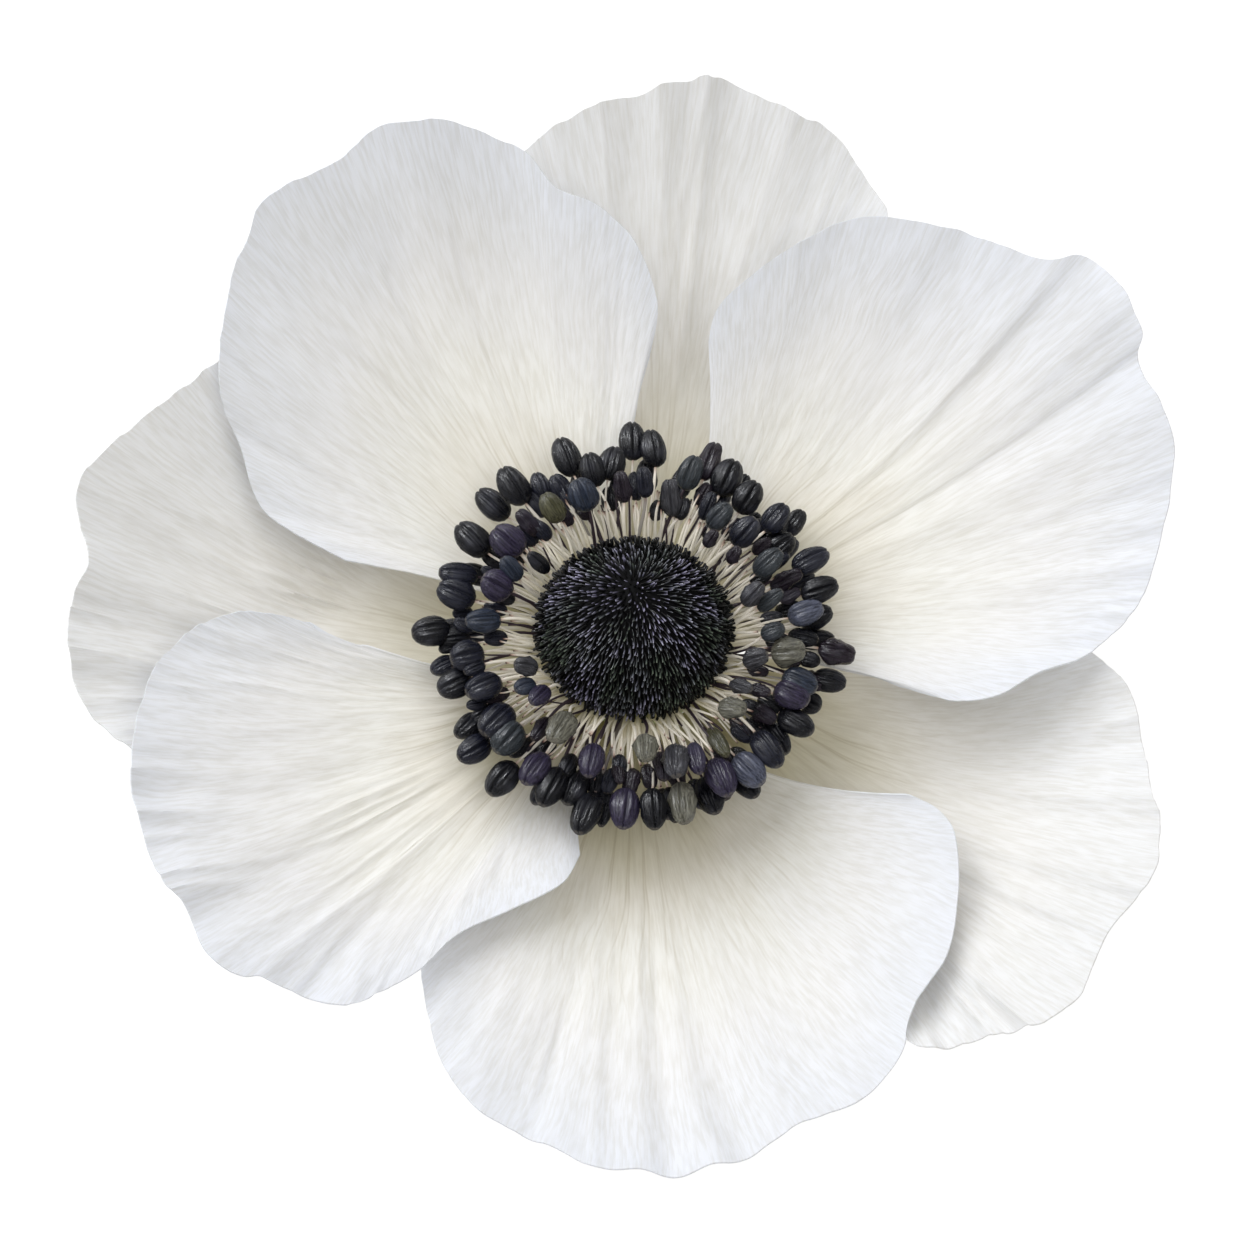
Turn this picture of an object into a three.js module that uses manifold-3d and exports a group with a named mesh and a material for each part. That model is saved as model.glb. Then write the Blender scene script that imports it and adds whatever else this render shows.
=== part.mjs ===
// Anemone flower: an open white bloom with a dark centre, picked just under its petals and laid face up.
// Millimetres, +Z up. The surface that it lies on is z = 0, and the flower's axis stands upright.
import * as THREE from 'three';
import { ConvexGeometry } from 'three/addons/geometries/ConvexGeometry.js';
import { mergeVertices } from 'three/addons/utils/BufferGeometryUtils.js';
import Module from 'manifold-3d';

// Petal outlines are drawn as seen along a line of sight that leans towards -Y, off the flower's axis.
const SIGHT_LEAN = THREE.MathUtils.degToRad(22);

// Petal sheet
const BLADE = 0.6; // thickness
const CLAW_RADIUS = 5.3; // where the narrow base of a petal meets the receptacle
const CLAW_SPREAD = THREE.MathUtils.degToRad(54); // angle that a base takes up round the receptacle
const VEIN_BEND = 0.16; // how far the veins bow towards the petal's own direction
const COLUMNS = 28; // steps across a petal
const ROWS = 7; // steps from its base to its margin
const MARGIN_ROUNDS = 6;
const FLAT_BLEND = 0.25; // depth over which a sagging petal turns into its flat resting spot
const LIFT_POWER = 2; // how late the lift of a margin sets in on the way out from the base
const PLEAT_POWER = 1.5; // the same for the pleats
const RISE_SPAN = 20;

// How each layer of petals runs, as a shallow bowl: its lowest height and the radius of that, the rise over
// RISE_SPAN inwards and outwards of it, and the power of the curve.
const BACK_LAYER = { lowest: -0.3, at: 18, inner: 7.2, outer: 9, power: 1.6 };
const MIDDLE_LAYER = { lowest: 2.7, at: 15, inner: 5, outer: 5.6, power: 1.8 };
const FRONT_LAYER = { lowest: 4.3, at: 13, inner: 4.7, outer: 5.2, power: 2 };

// Receptacle and stem stub
const STEM_RADIUS = 2.2;
const STEM_FOOT = 0.5; // the cut end stays just clear of the surface
const RECEPTACLE_RADIUS = 5;
const SHOULDER_LEVEL = 5.9; // the stamens' ring sits here
const BOSS_RADIUS = 3;
const BOSS_LEVEL = 7.3; // the dome of styles sits here
const SEAT_GAP = 0.3;
const ROUND_STEPS = 20;

// Stamens: one ring of roots, then rings of anthers from the outside in.
const STAMEN_SEED = 7;
const RING_OUTER = 6.2;
const RING_TOP = 7.2;
const ROOT_DEPTH = 0.5; // how deep a filament's root is sunk in the ring
const ROOT_POINT = 0.3; // length of the pointed end inside it
const ARCH_REACH = 2; // a filament runs this far out, nearly level, before it rises
const ARCH_RISE = 0.3;
const FILAMENT_RADIUS = 0.17;
const ANTHER_LENGTH = 3.2;
const ANTHER_WIDTH = 2.25;
const ANTHER_RISE = 0.15; // radians that an anther points up, plus or minus its share of the jitter
const ANTHER_STATIONS = [-1, -0.5, 0.45, 1]; // its inner end, its two fullest places and its tip
const JITTER = { turn: 0.22, reach: 0.5, level: 0.25, scale: 0.1, rise: 0.25 };
const STAMEN_ROWS = [
  { count: 27, reach: 14.7, level: 8, scale: 1.04, root: 6.45 },
  { count: 26, reach: 12.9, level: 9.5, scale: 1, root: 6.65 },
  { count: 22, reach: 11.1, level: 10.9, scale: 0.86, root: 6.85 },
  { count: 12, reach: 9.7, level: 12, scale: 0.66, root: 7.02 },
];

// Dome of styles
const DOME_WIDE = 7.2; // half widths along X and Y
const DOME_DEEP = 6.7;
const DOME_TALL = 6;
const DOME_CENTRE = 9.6; // the petal outlines are measured from this height on the axis
const DOME_FOOT = BOSS_LEVEL + SEAT_GAP;
const STYLE_COUNT = 240; // larger than life and fewer than on the flower
const RIM_ROOM = 8; // places left free for the dome's lower rim
const STYLE_RELIEF = 0.4;
const STYLE_LEAN = 0.5; // how far a tip leans away from the whorl
const LEAN_SPAN = 3; // the lean grows to full over this distance from the whorl
const LOWEST_TIP = 0.2; // a tip stays this far above the dome's flat underside
const UNDERSIDE_INSET = 1;
const WHORL_OFFSET = 1.2; // the whorl lies a little behind the dome's highest point

// Each petal lists its margin anticlockwise, from one side of its base to the other, as
// [x, height up the line of sight, lift off the bowl]. Pleats are [place across, half width, height].
const PETALS = [
  {
    name: 'petal_upper_left',
    layer: FRONT_LAYER,
    facing: 126,
    trough: 0.52,
    cup: 1.2,
    margin: [
      [1.2, 19.8, 1.2], [1.7, 23.4, 2], [0.4, 27.5, 2.6], [-2.4, 30.5, 2.4], [-5.8, 32, 1.6],
      [-8.1, 34.6, 0.8], [-12.9, 36.5, 0.4], [-16.8, 36.8, 0.6], [-19.4, 36, 0], [-21.3, 34, -0.4],
      [-24, 32.8, 0.3], [-26.9, 31, 0.2], [-28.1, 27.9, -0.6], [-29.2, 25.3, -0.6], [-29.9, 20.9, -0.2],
      [-29.9, 16.6, -0.8], [-28.4, 13.2, -1.2], [-27.3, 9.4, -1.6], [-24.6, 7.1, -1], [-20.8, 5.1, -0.4],
    ],
    pleats: [[0.2, 0.05, 0.5], [0.34, 0.05, -0.4], [0.46, 0.05, 0.4], [0.68, 0.05, 0.9], [0.9, 0.04, 0.5]],
  },
  {
    name: 'petal_top',
    layer: BACK_LAYER,
    facing: 82,
    trough: 0.5,
    cup: 1,
    margin: [
      [14.8, 20.2, 0], [18.1, 26.3, 0.4], [18.4, 30.1, 0.6], [16.8, 32.7, 0], [14.5, 35.9, -0.4],
      [12, 37.3, 0.2], [7.3, 39.6, -0.4], [5.6, 40.2, 0.5], [4, 39.7, -0.3], [2.1, 39.6, 0.6],
      [0.4, 38.7, -0.3], [-2.4, 38.1, 0.3], [-5.9, 36.4, 0], [-7.6, 34.8, -0.2], [-9.6, 33.1, 0.2],
      [-10.5, 28.8, 0.4], [-9.6, 23, 0.2], [-7.1, 18, 0],
    ],
    pleats: [
      [0.3, 0.05, 0.7], [0.42, 0.04, -0.5], [0.5, 0.035, 0.6], [0.58, 0.035, -0.4], [0.68, 0.05, 0.4],
    ],
  },
  {
    name: 'petal_upper_right',
    layer: FRONT_LAYER,
    facing: 32,
    trough: 0.5,
    cup: 1.4,
    margin: [
      [19.2, -4.1, 0.6], [23.1, -5, 1.2], [26.4, -4.5, 1.4], [29.2, -3, 1], [32.8, -1.5, 0.2],
      [36.4, 1.9, -0.6], [38.2, 7.6, -0.4], [39, 13, 0.2], [37.9, 16.6, 0.7], [36.4, 19.3, -0.6],
      [36.7, 21.4, 0.3], [35.4, 24.7, 0.8], [32.8, 26.9, -0.4], [29.7, 26.7, 0.4], [25.3, 28.3, 0],
      [21.3, 29.2, 0.3], [16.3, 29.8, 0.9], [11.2, 27.4, 1.8], [6.6, 23.8, 2.2], [5.4, 20.9, 1.6],
      [5.6, 18.7, 1],
    ],
    pleats: [
      [0.28, 0.05, 0.5], [0.38, 0.045, -0.5], [0.46, 0.035, 0.7], [0.52, 0.03, -0.5], [0.58, 0.035, 0.8],
      [0.66, 0.04, -0.5], [0.74, 0.05, 0.4],
    ],
  },
  {
    name: 'petal_lower_right',
    layer: BACK_LAYER,
    facing: -30,
    trough: 0.38,
    cup: 1,
    margin: [
      [11.2, -17.3, 0], [14.1, -23, 0.2], [17, -27.7, 0], [19.9, -29.7, 0.2], [21.7, -30, 0],
      [25.6, -29.3, -0.4], [29.2, -28.2, 0.4], [32.1, -26.1, 0.2], [33.1, -23.8, -0.6], [34.6, -21, 0.4],
      [37.3, -17.6, 0.7], [37.9, -14.4, -0.2], [37.3, -11.2, 0.4], [36.7, -8.3, -0.3], [36.1, -5, 0.2],
      [33.8, -2.2, 0.4], [30.7, -0.3, 0.2], [26.4, 0.4, 0], [21.3, 0, 0],
    ],
    pleats: [[0.28, 0.04, -0.4], [0.38, 0.04, 0.6], [0.5, 0.04, -0.6], [0.6, 0.05, 0.5], [0.72, 0.05, -0.3]],
  },
  {
    name: 'petal_bottom',
    layer: MIDDLE_LAYER,
    facing: -82,
    trough: 0.5,
    cup: 1,
    margin: [
      [-11.1, -16.6, -0.6], [-14.5, -20.2, -0.8], [-15.4, -24.3, -0.8], [-14, -30.6, 0], [-11.4, -34.2, 0.3],
      [-7.8, -36.4, -0.3], [-6, -36.9, 0.4], [-2.8, -38.6, -0.2], [0.4, -38.6, 0.5], [3, -39.3, -0.3],
      [5.2, -38.5, 0.5], [8.2, -37.9, -0.4], [12, -35.4, 0.4], [16.4, -33.7, 0], [19.2, -30.4, -0.3],
      [20, -27.4, 0.3], [22.7, -23, 0.4], [23.4, -18, 0.8], [22.8, -14.1, 1.4], [20.2, -12.2, 1.8],
      [16.3, -12.2, 1.6], [13, -11.2, 1],
    ],
    pleats: [
      [0.2, 0.04, 0.4], [0.28, 0.035, -0.4], [0.36, 0.035, 0.6], [0.43, 0.03, -0.4], [0.5, 0.035, 0.5],
      [0.57, 0.035, -0.5], [0.65, 0.04, 0.6], [0.78, 0.05, -0.3],
    ],
  },
  {
    name: 'petal_lower_left',
    layer: FRONT_LAYER,
    facing: 213,
    trough: 0.5,
    cup: 1.2,
    margin: [
      [-19, -1.8, 0.6], [-23.3, 0.4, 1.2], [-26.2, 1.1, 1.5], [-29.2, 1.2, 1.2], [-32.3, -0.1, 0.6],
      [-34.8, -3.2, 0], [-36, -7.2, -0.3], [-36.2, -10.8, 0.3], [-35.4, -14.4, -0.3], [-33.8, -18, 0.3],
      [-32.1, -20.2, -0.4], [-30.9, -22.9, 0.4], [-28.5, -24.9, -0.4], [-26.8, -24.8, 0.4],
      [-24, -26.1, -0.2], [-20.8, -26.9, 0.4], [-17.9, -25.8, 0.2], [-15.4, -24.3, 0.5],
      [-12.9, -21.9, 0.8], [-8.9, -20, 1.2], [-5.3, -18.3, 1.4], [-3.9, -16.2, 0.9],
    ],
    pleats: [
      [0.3, 0.045, 0.5], [0.39, 0.035, -0.4], [0.46, 0.035, 0.6], [0.53, 0.03, -0.5], [0.6, 0.035, 0.6],
      [0.68, 0.04, -0.4], [0.78, 0.06, 0.4],
    ],
  },
  {
    name: 'petal_left',
    layer: BACK_LAYER,
    facing: 172,
    trough: 0.62,
    cup: 1,
    margin: [
      [-19, 15.1, 0], [-24, 19.3, 0.2], [-27.6, 20, 0.3], [-30.9, 18.6, 0], [-34.8, 15.8, -0.3],
      [-38.4, 13, 0.3], [-40.2, 10.4, 0.5], [-39.9, 7.2, -0.3], [-39.4, 4.8, 0.4], [-40.5, 2.2, -0.4],
      [-40.8, -0.7, 0.3], [-39.7, -5, 0], [-36.3, -8.6, 0.2], [-32, -9.9, 0], [-25.5, -8.8, 0],
      [-19, -6.1, 0],
    ],
    pleats: [[0.3, 0.05, 0.5], [0.42, 0.04, -0.5], [0.52, 0.04, 0.6], [0.62, 0.04, -0.4], [0.72, 0.05, 0.4]],
  },
];

const petalMaterial = new THREE.MeshStandardMaterial({ color: '#f0eee8', roughness: 0.6, metalness: 0 });
const backPetalMaterial = new THREE.MeshStandardMaterial({ color: '#dcd9cf', roughness: 0.6, metalness: 0 });
const stamenMaterial = new THREE.MeshStandardMaterial({ color: '#1e2029', roughness: 0.45, metalness: 0 });
const styleMaterial = new THREE.MeshStandardMaterial({ color: '#16151b', roughness: 0.5, metalness: 0 });
const stemMaterial = new THREE.MeshStandardMaterial({ color: '#7d8f55', roughness: 0.6, metalness: 0 });

// A smooth curve through points of three numbers, walked by the share of its length in x and y.
function onCurve(points, share) {
  const lengths = [0];
  for (let i = 1; i < points.length; i++) {
    const step = Math.hypot(points[i][0] - points[i - 1][0], points[i][1] - points[i - 1][1]);
    lengths.push(lengths[i - 1] + step);
  }
  const target = share * lengths[lengths.length - 1];
  let i = 0;
  while (i < points.length - 2 && lengths[i + 1] < target) {
    i++;
  }
  const t = (target - lengths[i]) / (lengths[i + 1] - lengths[i]);
  const before = points[Math.max(i - 1, 0)];
  const after = points[Math.min(i + 2, points.length - 1)];
  return points[i].map((from, k) => {
    const to = points[i + 1][k];
    const bend = 2 * before[k] - 5 * from + 4 * to - after[k];
    const twist = 3 * (from - to) + after[k] - before[k];
    return from + 0.5 * t * (to - before[k] + t * (bend + t * twist));
  });
}

// A petal that would sag below the surface lies flat on it, with a soft turn into the flat spot.
function settled(height) {
  const over = height - BLADE / 2;
  if (over <= -FLAT_BLEND) {
    return BLADE / 2;
  }
  if (over >= FLAT_BLEND) {
    return height;
  }
  return BLADE / 2 + (over + FLAT_BLEND) ** 2 / (4 * FLAT_BLEND);
}

// Height of a petal's middle surface: the bowl, the lift of its margin, its own cup and its pleats.
function petalHeight(petal, along, across, lift, radius) {
  const { lowest, at, inner, outer, power } = petal.layer;
  let height = lowest + (radius < at ? inner : outer) * (Math.abs(radius - at) / RISE_SPAN) ** power;
  height += lift * along ** LIFT_POWER;
  height += petal.cup * (2 * (across - petal.trough)) ** 2 * along;
  for (const [place, halfWidth, tall] of petal.pleats) {
    height += tall * Math.exp(-(((across - place) / halfWidth) ** 2)) * along ** PLEAT_POWER;
  }
  return settled(height);
}

// Where the margin lies in plan, from the outline as it is seen along the line of sight. Its height
// follows from its place in plan, so the two are worked out in a few rounds.
function marginPoint(petal, across) {
  const [x, seen, lift] = onCurve(petal.margin, across);
  let y = seen;
  for (let round = 0; round < MARGIN_ROUNDS; round++) {
    const height = petalHeight(petal, 1, across, lift, Math.hypot(x, y));
    y = (seen + (DOME_CENTRE - height) * Math.sin(SIGHT_LEAN)) / Math.cos(SIGHT_LEAN);
  }
  return { x, y, lift };
}

// A point of the middle surface: along runs from 0 at the base to 1 at the margin, across from side to side.
function petalPoint(petal, along, across) {
  const facing = THREE.MathUtils.degToRad(petal.facing);
  const angle = facing + (across - 0.5) * CLAW_SPREAD;
  const base = new THREE.Vector2(Math.cos(angle), Math.sin(angle)).multiplyScalar(CLAW_RADIUS);
  const { x, y, lift } = marginPoint(petal, across);
  const margin = new THREE.Vector2(x, y);
  const ray = margin.clone().sub(base);
  const straight = new THREE.Vector2(Math.cos(facing), Math.sin(facing)).multiplyScalar(ray.length());
  const middle = base.clone().addScaledVector(ray, 0.5).addScaledVector(straight.sub(ray), VEIN_BEND);
  const plan = base.multiplyScalar((1 - along) ** 2);
  plan.addScaledVector(middle, 2 * along * (1 - along));
  plan.addScaledVector(margin, along ** 2);
  return new THREE.Vector3(plan.x, plan.y, petalHeight(petal, along, across, lift, plan.length()));
}

// The sheet's upward normal, from a short step along it and one across it.
function petalNormal(petal, along, across) {
  const step = 0.002;
  const near = Math.max(along - step, 0);
  const far = Math.min(along + step, 1);
  const left = Math.max(across - step, 0);
  const right = Math.min(across + step, 1);
  const outward = petalPoint(petal, far, across).sub(petalPoint(petal, near, across));
  const sideways = petalPoint(petal, along, right).sub(petalPoint(petal, along, left));
  return outward.cross(sideways).normalize();
}

// A petal is two alike sheets, split into triangles the same way, and the rim between them.
function petalGeometry(petal) {
  const positions = [];
  for (const side of [1, -1]) {
    for (let row = 0; row <= ROWS; row++) {
      for (let column = 0; column <= COLUMNS; column++) {
        const along = row / ROWS;
        const across = column / COLUMNS;
        const point = petalPoint(petal, along, across);
        point.addScaledVector(petalNormal(petal, along, across), side * BLADE / 2);
        positions.push(point.x, point.y, Math.max(point.z, 0));
      }
    }
  }
  const sheet = (ROWS + 1) * (COLUMNS + 1);
  const corner = (row, column) => row * (COLUMNS + 1) + column;
  const faces = [];
  for (let row = 0; row < ROWS; row++) {
    for (let column = 0; column < COLUMNS; column++) {
      const a = corner(row, column);
      const b = corner(row + 1, column);
      const c = corner(row + 1, column + 1);
      const d = corner(row, column + 1);
      faces.push(a, b, c, a, c, d);
      faces.push(sheet + a, sheet + c, sheet + b, sheet + a, sheet + d, sheet + c);
    }
  }
  const rim = [];
  for (let row = 0; row < ROWS; row++) {
    rim.push(corner(row, 0));
  }
  for (let column = 0; column < COLUMNS; column++) {
    rim.push(corner(ROWS, column));
  }
  for (let row = ROWS; row > 0; row--) {
    rim.push(corner(row, COLUMNS));
  }
  for (let column = COLUMNS; column > 0; column--) {
    rim.push(corner(0, column));
  }
  rim.forEach((from, i) => {
    const to = rim[(i + 1) % rim.length];
    faces.push(from, sheet + from, sheet + to, from, sheet + to, to);
  });
  const geometry = new THREE.BufferGeometry();
  geometry.setAttribute('position', new THREE.Float32BufferAttribute(positions, 3));
  geometry.setIndex(faces);
  return geometry;
}

// Seeded draws between -1 and 1, the same on every run.
function seededDraws(seed) {
  let state = seed;
  return () => {
    state = (state * 1664525 + 1013904223) % 4294967296;
    return state / 2147483648 - 1;
  };
}

// A closed spindle along a path: a point at either end and a ring of corners at each station between.
// A station is [radius, corners]. A ring of three corners may lead on to one of six.
function spindleGeometry(path, stations) {
  const positions = [];
  const starts = [];
  stations.forEach(([radius, corners], i) => {
    const forward = path[i + 2].clone().sub(path[i]).normalize();
    const right = new THREE.Vector3(0, 0, 1).cross(forward).normalize();
    const up = forward.clone().cross(right);
    starts.push(positions.length / 3);
    for (let k = 0; k < corners; k++) {
      const turn = (2 * Math.PI * k) / corners;
      const corner = path[i + 1].clone();
      corner.addScaledVector(right, radius * Math.cos(turn));
      corner.addScaledVector(up, radius * Math.sin(turn));
      positions.push(corner.x, corner.y, corner.z);
    }
  });
  const first = positions.length / 3;
  for (const end of [path[0], path[path.length - 1]]) {
    positions.push(end.x, end.y, end.z);
  }
  const faces = [];
  stations.forEach(([, corners], i) => {
    const ahead = stations[i + 1] ? stations[i + 1][1] : 0;
    for (let k = 0; k < corners; k++) {
      const a = starts[i] + k;
      const b = starts[i] + ((k + 1) % corners);
      if (i === 0) {
        faces.push(first, b, a);
      }
      if (ahead === 0) {
        faces.push(first + 1, a, b);
      } else if (ahead === corners) {
        const c = starts[i + 1] + ((k + 1) % corners);
        const d = starts[i + 1] + k;
        faces.push(a, b, c, a, c, d);
      } else {
        const c = starts[i + 1] + 2 * k;
        const d = starts[i + 1] + 2 * k + 1;
        const e = starts[i + 1] + ((2 * k + 2) % ahead);
        faces.push(a, d, c, a, b, d, b, e, d);
      }
    }
  });
  const geometry = new THREE.BufferGeometry();
  geometry.setAttribute('position', new THREE.Float32BufferAttribute(positions, 3));
  geometry.setIndex(faces);
  return geometry;
}

const wasm = await Module();
wasm.setup();

function toSolid(geometry) {
  const bare = geometry.clone();
  bare.deleteAttribute('normal');
  bare.deleteAttribute('uv');
  const merged = mergeVertices(bare, 1e-5);
  const vertProperties = new Float32Array(merged.attributes.position.array);
  const triVerts = new Uint32Array(merged.index.array);
  return new wasm.Manifold(new wasm.Mesh({ numProp: 3, vertProperties, triVerts }));
}

function toGeometry(solid) {
  const mesh = solid.getMesh();
  const geometry = new THREE.BufferGeometry();
  geometry.setAttribute('position', new THREE.Float32BufferAttribute(mesh.vertProperties, mesh.numProp));
  geometry.setIndex([...mesh.triVerts]);
  return geometry;
}

// A closed turned ring or knob from a profile of [radius, height] pairs.
function turned(profile) {
  const points = profile.map(([radius, height]) => new THREE.Vector2(radius, height));
  const geometry = new THREE.LatheGeometry(points, ROUND_STEPS);
  return geometry.rotateX(Math.PI / 2);
}

// A filament arches out of the ring, and the anther on its end points on outwards.
function stamenGeometry(angle, row, reach, level, scale, rise) {
  const out = new THREE.Vector3(Math.cos(angle), Math.sin(angle), 0);
  const up = new THREE.Vector3(0, 0, 1);
  const at = (radius, height) => out.clone().multiplyScalar(radius).addScaledVector(up, height);
  const direction = out.clone().multiplyScalar(Math.cos(rise)).addScaledVector(up, Math.sin(rise));
  const half = (ANTHER_LENGTH * scale) / 2;
  const full = (ANTHER_WIDTH * scale) / 2;
  const along = (share) => at(reach, level).addScaledVector(direction, half * share);
  const root = RING_OUTER - ROOT_DEPTH;
  const path = [at(root - ROOT_POINT, row.root), at(root, row.root)];
  path.push(at(RING_OUTER + ARCH_REACH, row.root + ARCH_RISE), ...ANTHER_STATIONS.map(along));
  const strand = [FILAMENT_RADIUS, 3];
  return spindleGeometry(path, [strand, strand, strand, [full, 6], [full, 6]]);
}

function stamensGeometry() {
  const draw = seededDraws(STAMEN_SEED);
  const foot = SHOULDER_LEVEL + SEAT_GAP;
  const inner = BOSS_RADIUS + SEAT_GAP;
  const low = [[inner, foot], [RING_OUTER, foot]];
  const high = [[RING_OUTER, RING_TOP], [inner, RING_TOP]];
  let whole = toSolid(turned([...low, ...high, low[0]]));
  for (const row of STAMEN_ROWS) {
    const offset = draw();
    for (let k = 0; k < row.count; k++) {
      const angle = (2 * Math.PI * (k + offset + JITTER.turn * draw())) / row.count;
      const reach = row.reach + JITTER.reach * draw();
      const level = row.level + JITTER.level * draw();
      const scale = row.scale * (1 + JITTER.scale * draw());
      const rise = ANTHER_RISE + JITTER.rise * draw();
      whole = whole.add(toSolid(stamenGeometry(angle, row, reach, level, scale, rise)));
    }
  }
  return toGeometry(whole);
}

// Points spread evenly over the dome, each the foot of a style.
function styleFeet() {
  const feet = [];
  const golden = Math.PI * (3 - Math.sqrt(5));
  const lowest = (DOME_FOOT - DOME_CENTRE) / DOME_TALL;
  for (let k = 0; k < STYLE_COUNT; k++) {
    const high = 1 - ((k + 0.5) / (STYLE_COUNT + RIM_ROOM)) * (1 - lowest);
    const round = Math.sqrt(1 - high * high);
    const turn = k * golden;
    feet.push(new THREE.Vector3(
      DOME_WIDE * round * Math.cos(turn),
      DOME_DEEP * round * Math.sin(turn),
      DOME_CENTRE + DOME_TALL * high,
    ));
  }
  return feet;
}

// The dome's skin is a hull through the feet. Each foot is drawn out to a tip that leans away from the
// whorl, and the middle of each face stays down between the tips.
function domeGeometry() {
  const feet = styleFeet();
  const rim = [];
  for (let k = 0; k < ROUND_STEPS; k++) {
    const turn = (2 * Math.PI * k) / ROUND_STEPS;
    rim.push(new THREE.Vector3(
      (DOME_WIDE - UNDERSIDE_INSET) * Math.cos(turn),
      (DOME_DEEP - UNDERSIDE_INSET) * Math.sin(turn),
      DOME_FOOT,
    ));
  }
  const hull = new ConvexGeometry([...feet, ...rim]);
  const heart = new THREE.Vector3(0, 0, DOME_CENTRE);
  const whorl = new THREE.Vector3(0, WHORL_OFFSET, DOME_CENTRE + DOME_TALL);
  const isUnder = (point) => point.z < DOME_FOOT + 1e-6;
  const tip = (point) => {
    if (isUnder(point)) {
      return point;
    }
    const outward = point.clone().sub(heart).normalize();
    const away = point.clone().sub(whorl);
    away.addScaledVector(outward, -away.dot(outward));
    const lean = Math.min(away.length() / LEAN_SPAN, 1) * STYLE_LEAN;
    const moved = point.clone().addScaledVector(outward, STYLE_RELIEF / 2);
    moved.addScaledVector(away.normalize(), lean);
    moved.z = Math.max(moved.z, DOME_FOOT + LOWEST_TIP);
    return moved;
  };
  const corners = hull.attributes.position;
  const positions = [];
  for (let i = 0; i < corners.count; i += 3) {
    const face = [0, 1, 2].map((k) => new THREE.Vector3().fromBufferAttribute(corners, i + k));
    const tips = face.map(tip);
    if (face.filter(isUnder).length > 1) {
      tips.forEach((point) => positions.push(point.x, point.y, point.z));
      continue;
    }
    const pit = face[0].clone().add(face[1]).add(face[2]).divideScalar(3);
    pit.addScaledVector(pit.clone().sub(heart).normalize(), -STYLE_RELIEF / 2);
    for (let k = 0; k < 3; k++) {
      for (const point of [tips[k], tips[(k + 1) % 3], pit]) {
        positions.push(point.x, point.y, point.z);
      }
    }
  }
  const geometry = new THREE.BufferGeometry();
  geometry.setAttribute('position', new THREE.Float32BufferAttribute(positions, 3));
  return mergeVertices(geometry, 1e-4);
}

// The stem's cut end, its flare under the petals, the shoulder for the stamens and the boss for the dome.
function receptacleGeometry() {
  return turned([
    [0, STEM_FOOT],
    [STEM_RADIUS, STEM_FOOT],
    [STEM_RADIUS, STEM_FOOT + 0.8],
    [STEM_RADIUS + 0.7, STEM_FOOT + 1.4],
    [RECEPTACLE_RADIUS - 0.5, STEM_FOOT + 1.9],
    [RECEPTACLE_RADIUS, STEM_FOOT + 2.4],
    [RECEPTACLE_RADIUS, SHOULDER_LEVEL - 0.3],
    [RECEPTACLE_RADIUS - 0.4, SHOULDER_LEVEL],
    [BOSS_RADIUS, SHOULDER_LEVEL],
    [BOSS_RADIUS, BOSS_LEVEL],
    [0, BOSS_LEVEL],
  ]);
}

const flower = new THREE.Group();

function addPiece(name, geometry, material) {
  const mesh = new THREE.Mesh(geometry, material);
  mesh.name = name;
  flower.add(mesh);
}

for (const petal of PETALS) {
  addPiece(petal.name, petalGeometry(petal), petal.layer === BACK_LAYER ? backPetalMaterial : petalMaterial);
}
addPiece('receptacle_and_stem', receptacleGeometry(), stemMaterial);
addPiece('stamens', stamensGeometry(), stamenMaterial);
addPiece('dome_of_styles', domeGeometry(), styleMaterial);

// The part's own origin is the middle of its footprint, so the axis stands a little off it.
const footprint = new THREE.Box3().setFromObject(flower);
const middle = footprint.getCenter(new THREE.Vector3());
flower.position.set(-middle.x, -middle.y, 0);
flower.updateMatrixWorld(true);

export default flower;
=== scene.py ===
"""Anemone flower: an open white bloom with a dark centre, laid face up. The scene is in metres, with +Z up.

Seven petals, the ring of stamens, the dome of styles and the receptacle under them each dress their own
solids of the frame. The petals repeat the curves that the solids were made with, at a finer step. Sizes in
this file are in millimetres, unless a comment says otherwise.
"""

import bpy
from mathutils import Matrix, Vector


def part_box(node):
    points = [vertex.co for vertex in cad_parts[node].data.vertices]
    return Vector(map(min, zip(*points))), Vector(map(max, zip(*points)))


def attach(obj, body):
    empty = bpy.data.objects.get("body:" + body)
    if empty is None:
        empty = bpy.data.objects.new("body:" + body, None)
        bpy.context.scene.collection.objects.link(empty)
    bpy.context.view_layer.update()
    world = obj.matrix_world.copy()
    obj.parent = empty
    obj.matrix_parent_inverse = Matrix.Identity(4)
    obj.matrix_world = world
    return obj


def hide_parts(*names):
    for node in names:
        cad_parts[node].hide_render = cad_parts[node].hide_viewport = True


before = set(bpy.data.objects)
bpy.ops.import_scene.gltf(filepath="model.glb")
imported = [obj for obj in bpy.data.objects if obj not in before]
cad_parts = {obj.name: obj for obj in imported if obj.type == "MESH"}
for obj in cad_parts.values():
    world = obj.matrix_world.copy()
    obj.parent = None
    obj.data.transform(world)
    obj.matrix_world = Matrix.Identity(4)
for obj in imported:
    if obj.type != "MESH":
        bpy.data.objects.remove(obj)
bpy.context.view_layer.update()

import math

import bpy
import numpy as np
from mathutils import Matrix, Vector

MM = 0.001
scene = bpy.context.scene

# The flower's own axis stands at the middle of its receptacle.
low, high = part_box("receptacle_and_stem")
AXIS = np.array([(low.x + high.x) / 2 / MM, (low.y + high.y) / 2 / MM, 0])

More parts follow.
